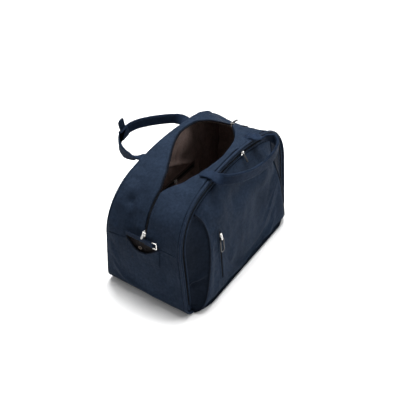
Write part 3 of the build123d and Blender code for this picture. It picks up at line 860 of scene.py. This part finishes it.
def bellows(side):
    def place(s, t):
        spot = zip_edge(t).lerp(left_edge(t), s)
        up = spot.y
        fold = math.sin(math.pi * s) * smooth(0, 0.1, 1 - t)
        crease = math.exp(-((up - 96 - 10 * s) / 7) ** 2) - math.exp(-((up - 82 - 10 * s) / 7) ** 2)
        out = spot.z - 4.5 * fold * smooth(0, 60, up) + 6.5 * fold * crease
        out -= fold * 2.5 * math.exp(-((up - 24) / 3.5) ** 2)
        out += fold * 1.5 * noise.noise(Vector((s * 3, up / 34, side * 3)))
        shift = -2.5 * fold * math.exp(-((up - 96) / 18) ** 2)
        low = 3 * (1 - smooth(0, 0.03, t))
        return on_front(side * (spot.x + shift) * -1, up - low, out)
    return place


# The bellows get a darker copy of the navy twill: painted shade of the recess between the panel and the front face.
shaded_fold_twill = woven("fold twill painted shade", (0.0018, 0.0034, 0.0068), (0.0085, 0.0140, 0.0255), TWILL_PITCH)
for side, name in ((-1, "left"), (1, "right")):
    sheet("bellows_" + name, 16, 74, bellows(side), (34, 290), 1.6, shaded_fold_twill, "navy_twill", "pocket_gusset_" + name)

# ------------------------------------------------------------------ bound edges
# A narrow bias strip folded over the raw edges runs down both bellows and along the foot; its
# dark twill is partly the binding's own colour and partly painted shade along the edge. Two
# thin dark cords are painted shade in the grooves beside the piping.
SIDE_SHARE = 0.35


def bound_route(s):
    if s < SIDE_SHARE:
        spot = left_edge(1 - s / SIDE_SHARE)
    elif s > 1 - SIDE_SHARE:
        spot = right_edge((s - 1 + SIDE_SHARE) / SIDE_SHARE)
    else:
        spot = foot_spot((s - SIDE_SHARE) / (1 - 2 * SIDE_SHARE))
    return on_front(spot.x, spot.y, spot.z + 0.5)


# Dark twill for the bindings and the hem; the two groove cords use it as painted shade where there is only shade.
dark_bias_and_groove_shade = woven("bound edge", (0.0016, 0.0028, 0.0058), (0.006, 0.010, 0.019), 0.6, "UV", 0.7, 0.01, 0.4)
for cord in (tube("panel_binding", bound_route, 2.3, 8, closed=False, columns=260),
             tube("front_groove_shade_cord", outline_cord(on_front, FRONT_RISE, 6.9, 0.9), 1.0, 6, columns=360),
             tube("rear_groove_shade_cord", outline_cord(on_rear, REAR_RISE, 6.9, 0.9), 0.9, 6, columns=360)):
    dress(cord, dark_bias_and_groove_shade, "shell", "navy_piping")

# ------------------------------------------------------------------ main zip tapes and coils
# The double-slider coil zip: the rear tape shows along the mouth's rear rim, the front tape is
# sewn to the flap inside, and both meet on the short run to the left and the run to the right.
LEFT_CORNER_GIRTH = 546
RIGHT_CORNER_GIRTH = 852


def tape_place(rim, inner_run, inner_rim, outer, low=SEAM + 2, high=GIRTH - SEAM - 2):
    def place(s, t):
        girth = low + (high - low) * s
        near = part_at(girth, edge_depth(girth, rim, inner_run, inner_rim))
        far = part_at(girth, edge_depth(girth, rim, outer, outer))
        across = near + (far - near) * t
        return band_point(girth, across, slack(band_point(girth, far)) * 0.95 - 1.5)
    return place


for name, columns, place, size, stands_for in (
        ("rear_zip_tape", 150, tape_place(rear_rim, 1.2, -0.6, 9), (600, 9), ("main_zip_rear",)),
        ("front_zip_tape_left", 40, tape_place(front_rim, -1.2, -1.2, -8, high=LEFT_CORNER_GIRTH), (140, 7),
         ("main_zip_front",)),
        ("front_zip_tape_right", 50, tape_place(front_rim, -1.0, -1.0, -8, low=RIGHT_CORNER_GIRTH), (180, 7), ())):
    sheet(name, columns, 4, place, size, 0.9, tape_cloth, "zip_tape", *stands_for, levels=0)


def flap_spot(girth, deep):
    """A point on the hanging flap, deep mm below its folded edge."""
    x, last, base, outward = mouth_fold(girth)
    part = deep / FLAP_DROP
    return base + Vector((0, FOLD_R - 3 * part + 1.4 * math.sin(x / 17) * part, 0)) - outward * (deep + FOLD_R)


def flap_tape_place(s, t):
    girth = 572 + (826 - 572) * s
    return flap_spot(girth, FLAP_DROP - 4 + 11 * t) + Vector((0, 0.7, 0))


sheet("flap_zip_tape", 90, 5, flap_tape_place, (300, 11), 0.9, tape_cloth, "zip_tape", "mouth_flap_tape",
      levels=0, centre=(-20, -130, 250))


def band_coil(low, rim, run_gap, rim_gap, lift=-0.9):
    def route(at):
        girth = low + at
        depth = edge_depth(girth, rim, run_gap, rim_gap)
        across = part_at(girth, depth)
        base = band_point(girth, across)
        ahead = band_point(girth + 1, part_at(girth + 1, edge_depth(girth + 1, rim, run_gap, rim_gap)))
        out = (band_point(girth, across, 5) - base).normalized()
        along = (ahead - base).normalized()
        beside = edge_depth(girth, rim, 9, 9) if rim_gap >= 0 else depth - 6
        give = slack(band_point(girth, part_at(girth, beside)))
        return base + out * (give * 0.95 + lift), out.cross(along).normalized(), out
    return route


COIL_START = SEAM + 4
for name, low, high, rim, run_gap, rim_gap in (
        ("rear_coil", COIL_START, GIRTH - COIL_START, rear_rim, 1.5, 0.6),
        ("left_run_coil", COIL_START, LEFT_CORNER_GIRTH, front_rim, -1.5, -1.5),
        ("right_run_coil", RIGHT_CORNER_GIRTH, GIRTH - COIL_START, front_rim, -1.3, -1.3)):
    coil(name, band_coil(low, rim, run_gap, rim_gap), high - low)


def flap_coil_route(at):
    spot = flap_spot(574 + at * 0.92, FLAP_DROP + 7) + Vector((0, 1.2, 0))
    return spot, Vector((0, 0, 1)), Vector((0, 1, 0))


coil("flap_coil", flap_coil_route, 270)

# ------------------------------------------------------------------ lining
# Brown taffeta hangs loose inside: a band round the girth and a panel on each face, in soft
# upright folds where it is sewn in at the mouth and slack lower down.
LINING_IN = 4.3
lining_cloth = woven("brown taffeta", (0.110, 0.078, 0.068), (0.330, 0.240, 0.215), 0.5, "UV", 0.5, 0.05, 0.25,
                     0.5, 0.3)


def lining_give(point):
    folds = 1.7 * noise.noise(Vector((point[0] / 26, point[1] / 24, point[2] / 90)))
    return folds + 2.4 * noise.noise(Vector((point[0] / 70 + 3, point[1] / 60, point[2] / 80)))


def lining_band(front):
    def place(s, t):
        girth = GIRTH * s
        run = min(girth, GIRTH - girth)
        if front:
            low, high = 0.02, part_at(girth, edge_depth(girth, front_rim, -5, -6))
        else:
            low, high = part_at(girth, edge_depth(girth, rear_rim, 5, 5)), 0.98
        if run < SEAM:
            middle = part_at(girth, ZIP_Y)
            low, high = (0.02, middle) if front else (middle, 0.98)
        across = low + (high - low) * t
        point = band_point(girth, across)
        edge = slack(point) * 0.95
        fold = lining_give(point) * smooth(0, 0.12, t) * smooth(0, 0.12, 1 - t) * smooth(0, 30, point.z)
        return band_point(girth, across, edge - LINING_IN - 1.4 - abs(fold) * 1.5)
    return place


def lining_face(rise, spot, drop, seed):
    def place(s, t):
        x, up = half_moon_patch(rise, 7, s, t)
        free = smooth(0, 0.1, s) * smooth(0, 0.1, 1 - s) * smooth(0, 0.08, t) * smooth(0, 0.06, 1 - t)
        fold = 3.0 * noise.noise(Vector((x / 20, up / 110, seed)))
        fold += 4.5 * noise.noise(Vector((x / 60, up / 70, seed + 4)))
        diagonal = 9 * math.exp(-((x * 0.45 + (up - 222) * 0.9) / 7) ** 2) * smooth(-150, -80, x) * smooth(150, 60, x)
        zipped = drop * smooth(34, 16, abs(up - 150)) * smooth(136, 120, abs(x))
        return spot(x, up, -LINING_IN - (1.2 + free * (abs(fold) * 1.3 + drop * diagonal)) * (1 - zipped))
    return place


for name, columns, rows, place, size, node in (
        ("lining_band_front", 240, 16, lining_band(True), (1440, 110), ("lining_band",)),
        ("lining_band_rear", 240, 16, lining_band(False), (1440, 110), ()),
        ("lining_rear_cloth", 110, 76, lining_face(REAR_RISE, on_rear, 1, 3), (470, 310), ("lining_rear",)),
        ("lining_front_cloth", 80, 56, lining_face(FRONT_RISE, on_front, 0, 8), (470, 320), ("lining_front",))):
    sheet(name, columns, rows, place, size, 0.7, lining_cloth, "brown_lining", *node,
          levels=0, inwards=True, weld=name.startswith("lining_band"))

# ------------------------------------------------------------------ metal: sliders, links and rings
# Cast zinc, bright nickel plated and lightly handled.


def plated(name, tone, rough):
    """Bright plating over cast metal, with fine scuffs and a slightly wavy skin."""
    handling = "handling"
    return surface(name, [
        ("where", "TexCoord", "part coordinates", None, {}),
        ("scuff", "TexNoise", "fine scuffs", handling, {"Scale": 1400, "Detail": 4}),
        ("cast", "TexNoise", "cast skin", handling, {"Scale": 260}),
        ("dull", "MapRange", "scuffed gloss", handling, {"To Min": rough * 0.7, "To Max": rough * 1.7}),
        ("tint", "ValToRGB", "plating tone", handling, {"ramp": ((0, [c * 0.8 for c in tone]), (1, tone))}),
        ("relief", "Bump", "cast relief", handling, {"Strength": 0.2, "Distance": 0.0002}),
        ("shader", "BsdfPrincipled", "nickel", None, {"Metallic": 1.0}),
        ("out", "OutputMaterial", "surface", None, {}),
    ], """
        where.Object > scuff.Vector
        where.Object > cast.Vector
        scuff.Fac > dull.Value
        cast.Fac > tint.Fac
        cast.Fac > relief.Height
        tint.Color > shader.Base Color
        dull.Result > shader.Roughness
        relief.Normal > shader.Normal
        shader.BSDF > out.Surface
    """)


nickel = plated("bright nickel", (0.83, 0.82, 0.80), 0.2)
# A rougher nickel for the inner slider and puller; its lighter tone is painted light, standing in for light that the
# lining keeps from them.
satin_painted_light = plated("satin nickel", (0.93, 0.92, 0.90), 0.55)
black_pull = plastic("black pull", (0.0035, 0.004, 0.005), 0.3, 0.2, 0.22)
lining_part = woven("lining tape", (0.050, 0.036, 0.030), (0.120, 0.090, 0.075), 0.5, "Object", 0.6, 0.08, 0.25)
FINISH = {
    nickel: ("zip_slider_left", "zip_slider_right", "front_zip_slider", "welt_slider", "zip_puller_left", "welt_link",
             "wrap_snap_stud", "wrap_snap_socket"),
    satin_painted_light: ("inner_zip_slider", "inner_zip_puller"),
    black_pull: ("zip_puller_right", "front_zip_puller"),
    lining_part: ("inner_zip_tape", "base_board"),
    nylon: ("inner_zip_coil",),
}
for finish, nodes in FINISH.items():
    for node in nodes:
        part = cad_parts[node]
        part.data.materials.clear()
        part.data.materials.append(finish)

# ------------------------------------------------------------------ oblong loop on the small front zip
# A moulded black loop hangs from the slider's link.
WELT_TOP = 180
WELT_OUT = 31.8
PIN_OUT = 4.0


def loop_route(s):
    half_long, r = 18.8, 6.4
    middle = WELT_TOP - 10 - half_long + 1
    straight = 2 * (half_long - r)
    bend = math.pi * r
    at = s * 2 * (straight + bend)
    far_side = at >= straight + bend
    sign = -1 if far_side else 1
    if far_side:
        at -= straight + bend
    along, over = half_long - r - at, r
    if at >= straight:
        turn = (at - straight) / r
        along, over = -(half_long - r) - r * math.sin(turn), r * math.cos(turn)
    return on_front(WELT_X - over * sign, middle + along * sign, WELT_OUT + PIN_OUT)


loop = tube("welt_loop", loop_route, 1.5, 10, columns=72)
dress(loop, black_pull, "loop_welt", "black_pull", "welt_loop_puller")

# ------------------------------------------------------------------ welt of the small front zip
# A slit in the panel, edged by two folded lips of twill and topstitched all round.
WELT_LOW = 45
WELT_HIGH = 196


LIP_FOLD = [(8.0, 29.6), (7.6, 30.7), (6.0, 31.2), (4.0, 31.5), (2.9, 31.3), (2.5, 30.6)]


def lip_place(sign):
    def place(s, t):
        up = WELT_LOW + (WELT_HIGH - WELT_LOW) * s
        ends = smooth(0, 0.03, s) * smooth(0, 0.03, 1 - s)
        spread, out = profile(LIP_FOLD, t)
        return on_front(WELT_X + sign * spread * (0.6 + 0.4 * ends), up, out - 0.9 * (1 - ends))
    return place


for sign, name, stands_for in ((-1, "left", ("welt_frame",)), (1, "right", ())):
    sheet("welt_lip_" + name, 60, 8, lip_place(sign), (151, 8), 0.9, twill, "navy_twill", *stands_for)


def welt_coil_route(at):
    return on_front(WELT_X, WELT_LOW + 6 + at, 31.0), Vector((1, 0, 0)), FACE_OUT


def rows_between(corners, spacing):
    """Points along straight lines from corner to corner, about a spacing apart."""
    path = []
    for start, end in zip(corners, corners[1:]):
        count = max(int((end - start).length / spacing), 2)
        path += [start.lerp(end, k / count) for k in range(count)]
    return path


coil("welt_coil", welt_coil_route, 139, "welt_zip_coil", width=2.1, height=0.7)
WELT_BOX = [(-7.0, WELT_LOW + 2), (-7.0, WELT_HIGH - 2), (7.0, WELT_HIGH - 2), (7.0, WELT_LOW + 2), (-7.0, WELT_LOW + 2)]
welt_line = rows_between([on_front(WELT_X + over, up, 31.1) for over, up in WELT_BOX], 4)
stitches("welt_topstitch", welt_line, [FACE_OUT] * len(welt_line), "navy_twill")

# ------------------------------------------------------------------ handles
# Two carrying handles of doubled twill. The rear one is sewn flat to the rear face, leaves it
# at the top and turns on edge; the front one is sewn over the piping to the band.
STRAP_W = 28
STRAP_T = 6.6


def rounded_box(t, wide_power, thick_power):
    """A point t of the way round a rounded section: across and through, each from -1 to 1."""
    across, through = math.cos(2 * math.pi * t), math.sin(2 * math.pi * t)
    return (math.copysign(abs(across) ** wide_power, across), math.copysign(abs(through) ** thick_power, through))


def strap_frame(stations, s):
    """Place, width direction and normal of a strap at s."""
    route = curve_through([p for p, w in stations])
    lengths = run_lengths([Vector(p) for p, w in stations])
    i, part = find_on(lengths, s * lengths[-1])
    first, last = [Vector(stations[k][1]).normalized() for k in (i, i + 1)]
    width = first.slerp(last, smooth(0, 1, part), Vector((0, 0, 1)))
    along = (route(min(s + 0.004, 1)) - route(max(s - 0.004, 0))).normalized()
    width = (width - along * width.dot(along)).normalized()
    return route(s), width, along.cross(width)


def strap_piece(name, stations):
    """A strap swept through its stations, soft at the edges and thinner where it is sewn flat."""
    length = run_lengths([Vector(p) for p, w in stations])[-1]

    def place(s, t):
        spot, width, normal = strap_frame(stations, s)
        wide, thick = rounded_box(t, 0.35, 0.55)
        mid = smooth(0.02, 0.1, s) * smooth(0.02, 0.1, 1 - s)
        ripple = 0.35 * noise.noise(Vector((s * 16, t * 2, len(name)))) * mid
        return (spot + width * wide * STRAP_W / 2 * (1 - 0.03 * mid)
                + normal * (thick * (STRAP_T / 2 * (0.72 + 0.28 * mid)) + ripple))

    return close_ends(lay(name, 150, 20, place, (length, 2 * STRAP_W + 8), weld=True))


def strap_row(stations, low, high, offset, out, steps=120):
    """Points and outward directions of a stitch row along a strap."""
    points = []
    outs = []
    for k in range(steps + 1):
        spot, width, normal = strap_frame(stations, low + (high - low) * k / steps)
        points.append(spot + width * offset + normal * out)
        outs.append(normal * math.copysign(1, out))
    return points, outs


def tongue_spot(x, depth, lift):
    """A point on the worn band's crown."""
    girth = GIRTH / 2 + math.copysign(1, x) * 144 * math.asin(abs(x) / CROWN_R) / CROWN_TURN
    return worn_point(girth, part_at(girth, depth), lift)[0]


# A place on the strap's centre line and the direction of its width there
REAR_STATIONS = [
    (on_rear(92, 247, 3.6), (1, 0, 0)), (on_rear(92, 270, 3.8), (1, 0, 0)), (on_rear(92, 284, 4.6), (1, 0, 0)),
    ((92, 101, 290.5), (1, 0, 0)), ((91, 110, 293.5), (0.95, 0, 0.3)), ((87, 123, 295), (0.5, 0, 0.87)),
    ((79, 137, 296.5), (0, 0, 1)), ((59, 154, 299), (0, 0, 1)), ((32, 176, 300), (0, 0, 1)), ((2, 196, 299), (0, 0, 1)),
    ((-24, 205, 295), (0, 0, 1)), ((-50, 204, 289), (0, 0, 1)), ((-72, 190, 281), (0, 0, 1)),
    ((-85, 168, 276), (0, 0, 1)), ((-90, 144, 278), (-0.3, 0, 0.95)), ((-91.5, 124, 284.5), (-0.9, 0, 0.5)),
    ((-92, 110, 290.5), (-1, 0, 0.1)), ((-92, 101, 290.5), (-1, 0, 0)), (on_rear(-92, 284, 4.6), (-1, 0, 0)),
    (on_rear(-92, 270, 3.8), (-1, 0, 0)), (on_rear(-92, 247, 3.6), (-1, 0, 0))]
FRONT_STATIONS = [
    (tongue_spot(-92, -66, 1.6), (1, 0, 0)), (tongue_spot(-92, -78, 2.2), (1, 0, 0)), ((-92, -88, 319.6), (1, 0, 0)),
    ((-92, -94, 319.4), (1, 0, 0)), ((-91.5, -101, 317), (0.97, 0, 0.25)), ((-88, -112, 315), (0.6, 0, 0.8)),
    ((-80, -121, 313), (0.1, 0, 1)), ((-60, -132, 309), (0, 0, 1)), ((-30, -141, 302), (0, 0, 1)),
    ((4, -147, 296), (0, 0, 1)), ((40, -151, 295), (0, 0, 1)), ((74, -153, 301), (0, 0, 1)),
    ((101, -147.5, 311), (0, 0, 1)), ((111.5, -133, 318), (-0.1, 0, 1)), ((105, -117, 320), (-0.5, 0, 0.87)),
    ((95.5, -105, 319), (-0.93, 0, 0.3)), ((92, -94, 319.4), (-1, 0, 0)), ((92, -88, 319.6), (-1, 0, 0)),
    (tongue_spot(92, -78, 2.2), (-1, 0, 0)), (tongue_spot(92, -66, 1.6), (-1, 0, 0))]

strap_cloth = woven("strap twill", (0.0028, 0.0058, 0.0130), (0.0135, 0.0245, 0.0490), 0.8, "UV", 0.72, 0.02, 0.5)
rear_handle = strap_piece("rear_handle", REAR_STATIONS)
front_handle = strap_piece("front_handle", FRONT_STATIONS)
for piece, body, nodes, start, end in (
        (rear_handle, "handle_rear", ("handle_rear", "handle_anchor_rear_left", "handle_anchor_rear_right"),
         (0, 0.0955, 0.288), (0, 0.112, 0.2935)),
        (front_handle, "handle_front", ("handle_front", "handle_anchor_front_left", "handle_anchor_front_right"),
         (0, -0.0905, 0.3195), (0, -0.106, 0.316))):
    piece.data.materials.clear()
    piece.data.materials.append(strap_cloth)
    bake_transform(piece)
    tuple(start)
    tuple(end)
    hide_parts(*nodes)
for stations, body, tag, low, high in ((REAR_STATIONS, "handle_rear", "rear", 0.21, 0.79),
                                       (FRONT_STATIONS, "handle_front", "front", 0.15, 0.85)):
    for offset, edge in ((-9.4, "low"), (9.4, "high")):
        for out, side in ((STRAP_T / 2 - 0.02, "outside"), (-STRAP_T / 2 + 0.02, "inside")):
            stitches(f"handle_{tag}_stitch_{edge}_{side}", *strap_row(stations, low, high, offset, out),
                     "navy_webbing", body)


def sewn_box(name, corners, out):
    """A stitched rectangle with a cross, holding a strap's end down."""
    a, b, c, d = corners
    path = rows_between([a, b, c, d, a, c, d, b], 3)
    stitches(name, path, [out] * len(path), "navy_webbing", stride=3.4, length=2.2)


REAR_OUT = (on_rear(0, 0, 1) - on_rear(0, 0, 0)).normalized()
for x, name in ((-92, "left"), (92, "right")):
    sewn_box("rear_anchor_stitch_" + name, [on_rear(x - 9, 250, 5.2), on_rear(x + 9, 250, 5.2),
                                           on_rear(x + 9, 272, 5.35), on_rear(x - 9, 272, 5.35)], REAR_OUT)
    sewn_box("front_anchor_stitch_" + name, [tongue_spot(x - 9, -68, 3.3), tongue_spot(x + 9, -68, 3.3),
                                            tongue_spot(x + 9, -79, 3.9), tongue_spot(x - 9, -79, 3.9)],
             Vector((math.copysign(0.16, x), -0.02, 0.98)).normalized())

# ------------------------------------------------------------------ handle wrap and snap flap
# A padded cuff is sewn round the rear handle; its flap stands up above the strap and closes
# over the other handle with a press stud.
CUFF_START = Vector((-24, 205, 295))
CUFF_END = Vector((-50, 204, 289))
CUFF_MID = (CUFF_START + CUFF_END) / 2
CUFF_RUN = (CUFF_END - CUFF_START).normalized()
CUFF_OUT = Vector((0, 0, 1)).cross(CUFF_RUN).normalized() * -1
CUFF_UP = CUFF_OUT.cross(CUFF_RUN).normalized()
CUFF_HALF = 15.6


def cuff_place(s, t):
    wide, thick = rounded_box(t, 0.4, 0.6)
    swell = 1 - 0.06 * (2 * s - 1) ** 4
    out = thick * 5.6 * swell + 0.5 * noise.noise(Vector((s * 3, t * 3, 1)))
    return CUFF_START.lerp(CUFF_END, s) + CUFF_UP * wide * CUFF_HALF * swell + CUFF_OUT * out


def flap_place(s, t):
    wide, thick = rounded_box(t, 0.4, 0.6)
    half = max(10.6 * (1 - max(s - 0.82, 0) ** 2 * 16), 3)
    pad = 1.55 * (0.8 + 0.35 * math.sin(math.pi * s)) * (1 - 0.5 * smooth(0.9, 1, s))
    return CUFF_MID + CUFF_UP * (CUFF_HALF + 30 * s) + CUFF_RUN * wide * half + CUFF_OUT * thick * pad


cuff = close_ends(lay("wrap_cuff", 22, 24, cuff_place, (26, 56), weld=True))
dress(cuff, strap_cloth, "handle_rear", "navy_webbing", "wrap_sleeve")
flap = close_ends(lay("wrap_flap_pad", 24, 22, flap_place, (30, 46), weld=True))
dress(flap, strap_cloth, "wrap_flap", "navy_webbing", "wrap_flap")
flap_edge = [(18 + k * 2, -8) for k in range(12)] + [(42, -8 + k * 2) for k in range(1, 8)]
flap_edge += [(40 - k * 2, 8) for k in range(12)]
flap_line = [CUFF_MID + CUFF_UP * high + CUFF_RUN * over - CUFF_OUT * 1.62 for high, over in flap_edge]
stitches("wrap_flap_stitch", flap_line, [CUFF_OUT * -1] * len(flap_line), "navy_webbing", "wrap_flap",
         stride=3.4, length=2.2)

# ------------------------------------------------------------------ end tabs
# A folded fabric tab crosses each end below the zip. Its front end turns round a ring's bar
# and is sewn back on itself.
TAB_MID_Z = 196.5
TAB_W = 13
RING_Y = -30.6
EYE_X = -243.4
TAB_ROUTE = [(-241.6, 44), (-242.0, 30), (-242.2, 5), (-242.0, -20), (-241.4, -27), (-241.2, -31),
             (-243.0, -33.2), (-245.4, -32.2), (-245.8, -29), (-245.0, -25), (-244.6, -16), (-244.3, -9)]
tab_curve = curve_through([(x, y, 0) for x, y in TAB_ROUTE])


def tab_place(side):
    def place(s, t):
        spot = tab_curve(s)
        along = (tab_curve(min(s + 0.01, 1)) - tab_curve(max(s - 0.01, 0))).normalized()
        wide, thick = rounded_box(t, 0.35, 0.6)
        point = Vector((spot.x, spot.y, TAB_MID_Z + wide * TAB_W / 2)) + Vector((along.y, -along.x, 0)) * thick * 0.62
        return Vector((point.x * side * -1, point.y, point.z))
    return place


for side, name in ((-1, "left"), (1, "right")):
    tab = close_ends(lay("end_tab_cloth_" + name, 70, 16, tab_place(side), (110, 30), weld=True))
    dress(tab, strap_cloth, "shell", "navy_webbing", "end_tab_" + name)
    edge = [Vector((side * 242.8, 42 - k * 2, TAB_MID_Z + 4.6)) for k in range(26)]
    edge += [Vector((side * 242.8, -8 + k * 2, TAB_MID_Z - 4.6)) for k in range(26)]
    stitches("end_tab_stitch_" + name, edge, [Vector((side, 0, 0))] * len(edge), "navy_webbing",
             stride=3.6, length=2.3)

# ------------------------------------------------------------------ end rings
# A bent-wire rectangular ring of nickel-plated steel turns in each tab.
RING_REACH = 13
RING_HALF = 8.0
WIRE_R = 1.25


def ring_route(side):
    """Round the ring: its bar in the tab, two rails and the free end, with rounded corners."""
    r = 2.2
    reach = RING_REACH - 1.0
    corners = [Vector(p) for p in ((0, -RING_HALF, 0), (0, RING_HALF, 0), (-reach, RING_HALF, 0), (-reach, -RING_HALF, 0))]
    path = []
    for k, corner in enumerate(corners):
        to_before = (corners[k - 1] - corner).normalized()
        to_after = (corners[(k + 1) % 4] - corner).normalized()
        centre = corner + to_before * r + to_after * r
        for step in range(7):
            turn = step / 6 * math.pi / 2
            path.append(centre - to_after * r * math.cos(turn) - to_before * r * math.sin(turn))
    path.append(path[0])
    points = [Vector((side * -EYE_X, RING_Y + p.x, TAB_MID_Z + p.y)) for p in path]
    lengths = run_lengths(points)

    def at(s):
        i, part = find_on(lengths, (s % 1) * lengths[-1])
        return points[i].lerp(points[i + 1], part)
    return at


def along_x(s):
    return Vector((1, 0, 0))


for side, name in ((-1, "left"), (1, "right")):
    ring = tube("ring_wire_" + name, ring_route(side), WIRE_R, columns=96, turn_up=along_x)
    dress(ring, nickel, "ring_" + name, "nickel", "end_ring_" + name)

# ------------------------------------------------------------------ slip pocket
# A low open pocket on the left end under the tab. Its twill front droops from its corners
# and shows the brown mesh behind, with a metal eyelet.
SLIP_HALF = 46
SLIP_LOW = 128
SLIP_TOP = 186
END_X = -240


def end_lean(y, z):
    """How far the worn left end stands out, with its deep hollows bridged."""
    return max(slack(Vector((END_X, y, z))) * 0.9, -3)


def slip_place(s, t):
    y = -SLIP_HALF + 2 * SLIP_HALF * s
    bow = 1 - (2 * s - 1) ** 2
    top = SLIP_TOP - 24 * bow ** 1.15 + 2.6 * noise.noise(Vector((y / 11, 4, 2))) * bow
    z = SLIP_LOW + (top - SLIP_LOW) * t
    gape = 7 * bow ** 0.8 * t ** 1.4
    fold = 1.6 * noise.noise(Vector((y / 12, z / 18, 3))) * bow
    return Vector((END_X - end_lean(y, z) - 1.5 - gape - fold, y, z))


def hem_route(s):
    return slip_place(s, 1.0) + Vector((-0.2, 0, 0.3))


def mesh_place(s, t):
    y = -SLIP_HALF + 1.5 + (2 * SLIP_HALF - 3) * s
    z = SLIP_LOW + 4 + (SLIP_TOP + 2 - SLIP_LOW - 4) * t
    puff = 1.6 * math.sin(math.pi * s) * math.sin(math.pi * t) + 2.4 * noise.noise(Vector((y / 8, z / 12, 12)))
    return Vector((END_X - end_lean(y, z) - 0.9 - max(puff, 0), y, z))


def eyelet_route(s):
    turn = 2 * math.pi * s
    return Vector((-243.6, 4 + 3.6 * math.cos(turn), 171 + 3.6 * math.sin(turn)))


sheet("slip_front", 44, 16, slip_place, (92, 50), 1.3, twill, "navy_twill", "slip_pocket_panel")
hem = tube("slip_hem", hem_route, 1.5, 8, closed=False, columns=70)
dress(hem, dark_bias_and_groove_shade, "shell", "navy_piping")
# Brown mesh threads; the near-black between them is painted shade seen through the holes.
mesh_with_hole_shade = woven("brown mesh", (0.002, 0.0015, 0.0015), (0.017, 0.013, 0.012), 2.2, "UV", 0.7, 0.05, 0.9, 1.0)
sheet("slip_mesh", 50, 34, mesh_place, (89, 60), 0.5, mesh_with_hole_shade, "brown_mesh", "slip_pocket_mesh", levels=0)
eyelet = tube("mesh_eyelet", eyelet_route, 1.1, columns=36, turn_up=along_x, flat=0.6)
dark_metal = plated("darkened brass", (0.16, 0.13, 0.11), 0.35)
dress(eyelet, dark_metal, "shell", "nickel", "slip_pocket_eyelet")

# ------------------------------------------------------------------ floor, light and camera
# A pale seamless floor, a broad soft light overhead and behind, and a weak one from the front.
bpy.ops.object.select_all(action="DESELECT")
bpy.ops.mesh.primitive_plane_add(size=60, location=(0, 0, 0))
floor = bpy.context.object
floor.name = "studio_floor"
paper = surface("white paper", [
    ("where", "TexCoord", "floor coordinates", None, {}),
    ("mottle", "TexNoise", "paper mottle", "paper stock", {"Scale": 40}),
    ("tone", "ValToRGB", "paper tone", "paper stock", {"ramp": ((0, (0.90,) * 3), (1, (0.93,) * 3))}),
    ("shader", "BsdfPrincipled", "paper", None, {"Roughness": 0.9}),
    ("out", "OutputMaterial", "surface", None, {}),
], """
    where.Object > mottle.Vector
    mottle.Fac > tone.Fac
    tone.Color > shader.Base Color
    shader.BSDF > out.Surface
""")
floor.data.materials.append(paper)

world = bpy.data.worlds.new("studio")
bpy.context.scene.world = world
world.use_nodes = True
world.node_tree.nodes["Background"].inputs["Color"].default_value = (1, 1, 1, 1)
world.node_tree.nodes["Background"].inputs["Strength"].default_value = 0.36
TARGET = Vector((-0.0035, 0.0019, 0.148))
LAMPS = [
    ("overhead", (0.3, 0.22, 2.35), 1.25, 100),
    ("front", (1.3, -1.9, 1.5), 0.9, 26),
    ("wash", (-2.2, 2.2, 2.6), 2.4, 6),
]
for name, place, size, power in LAMPS:
    lamp = bpy.data.lights.new(name, "AREA")
    lamp.shape = "SQUARE"
    lamp.size = size
    lamp.energy = power
    holder = bpy.data.objects.new(name, lamp)
    holder.location = place
    holder.rotation_euler = (TARGET - Vector(place)).to_track_quat("-Z", "Y").to_euler()
    bpy.context.scene.collection.objects.link(holder)

EYE = Vector((-1.1116, -0.7371, 1.2343))
lens = bpy.data.cameras.new("main_view")
lens.sensor_width = 36
lens.lens = 61.9
view = bpy.data.objects.new("main_view", lens)
view.location = EYE
view.rotation_euler = (TARGET - EYE).to_track_quat("-Z", "Y").to_euler()
bpy.context.scene.collection.objects.link(view)
bpy.context.scene.camera = view
bpy.context.scene.view_settings.view_transform = "Standard"
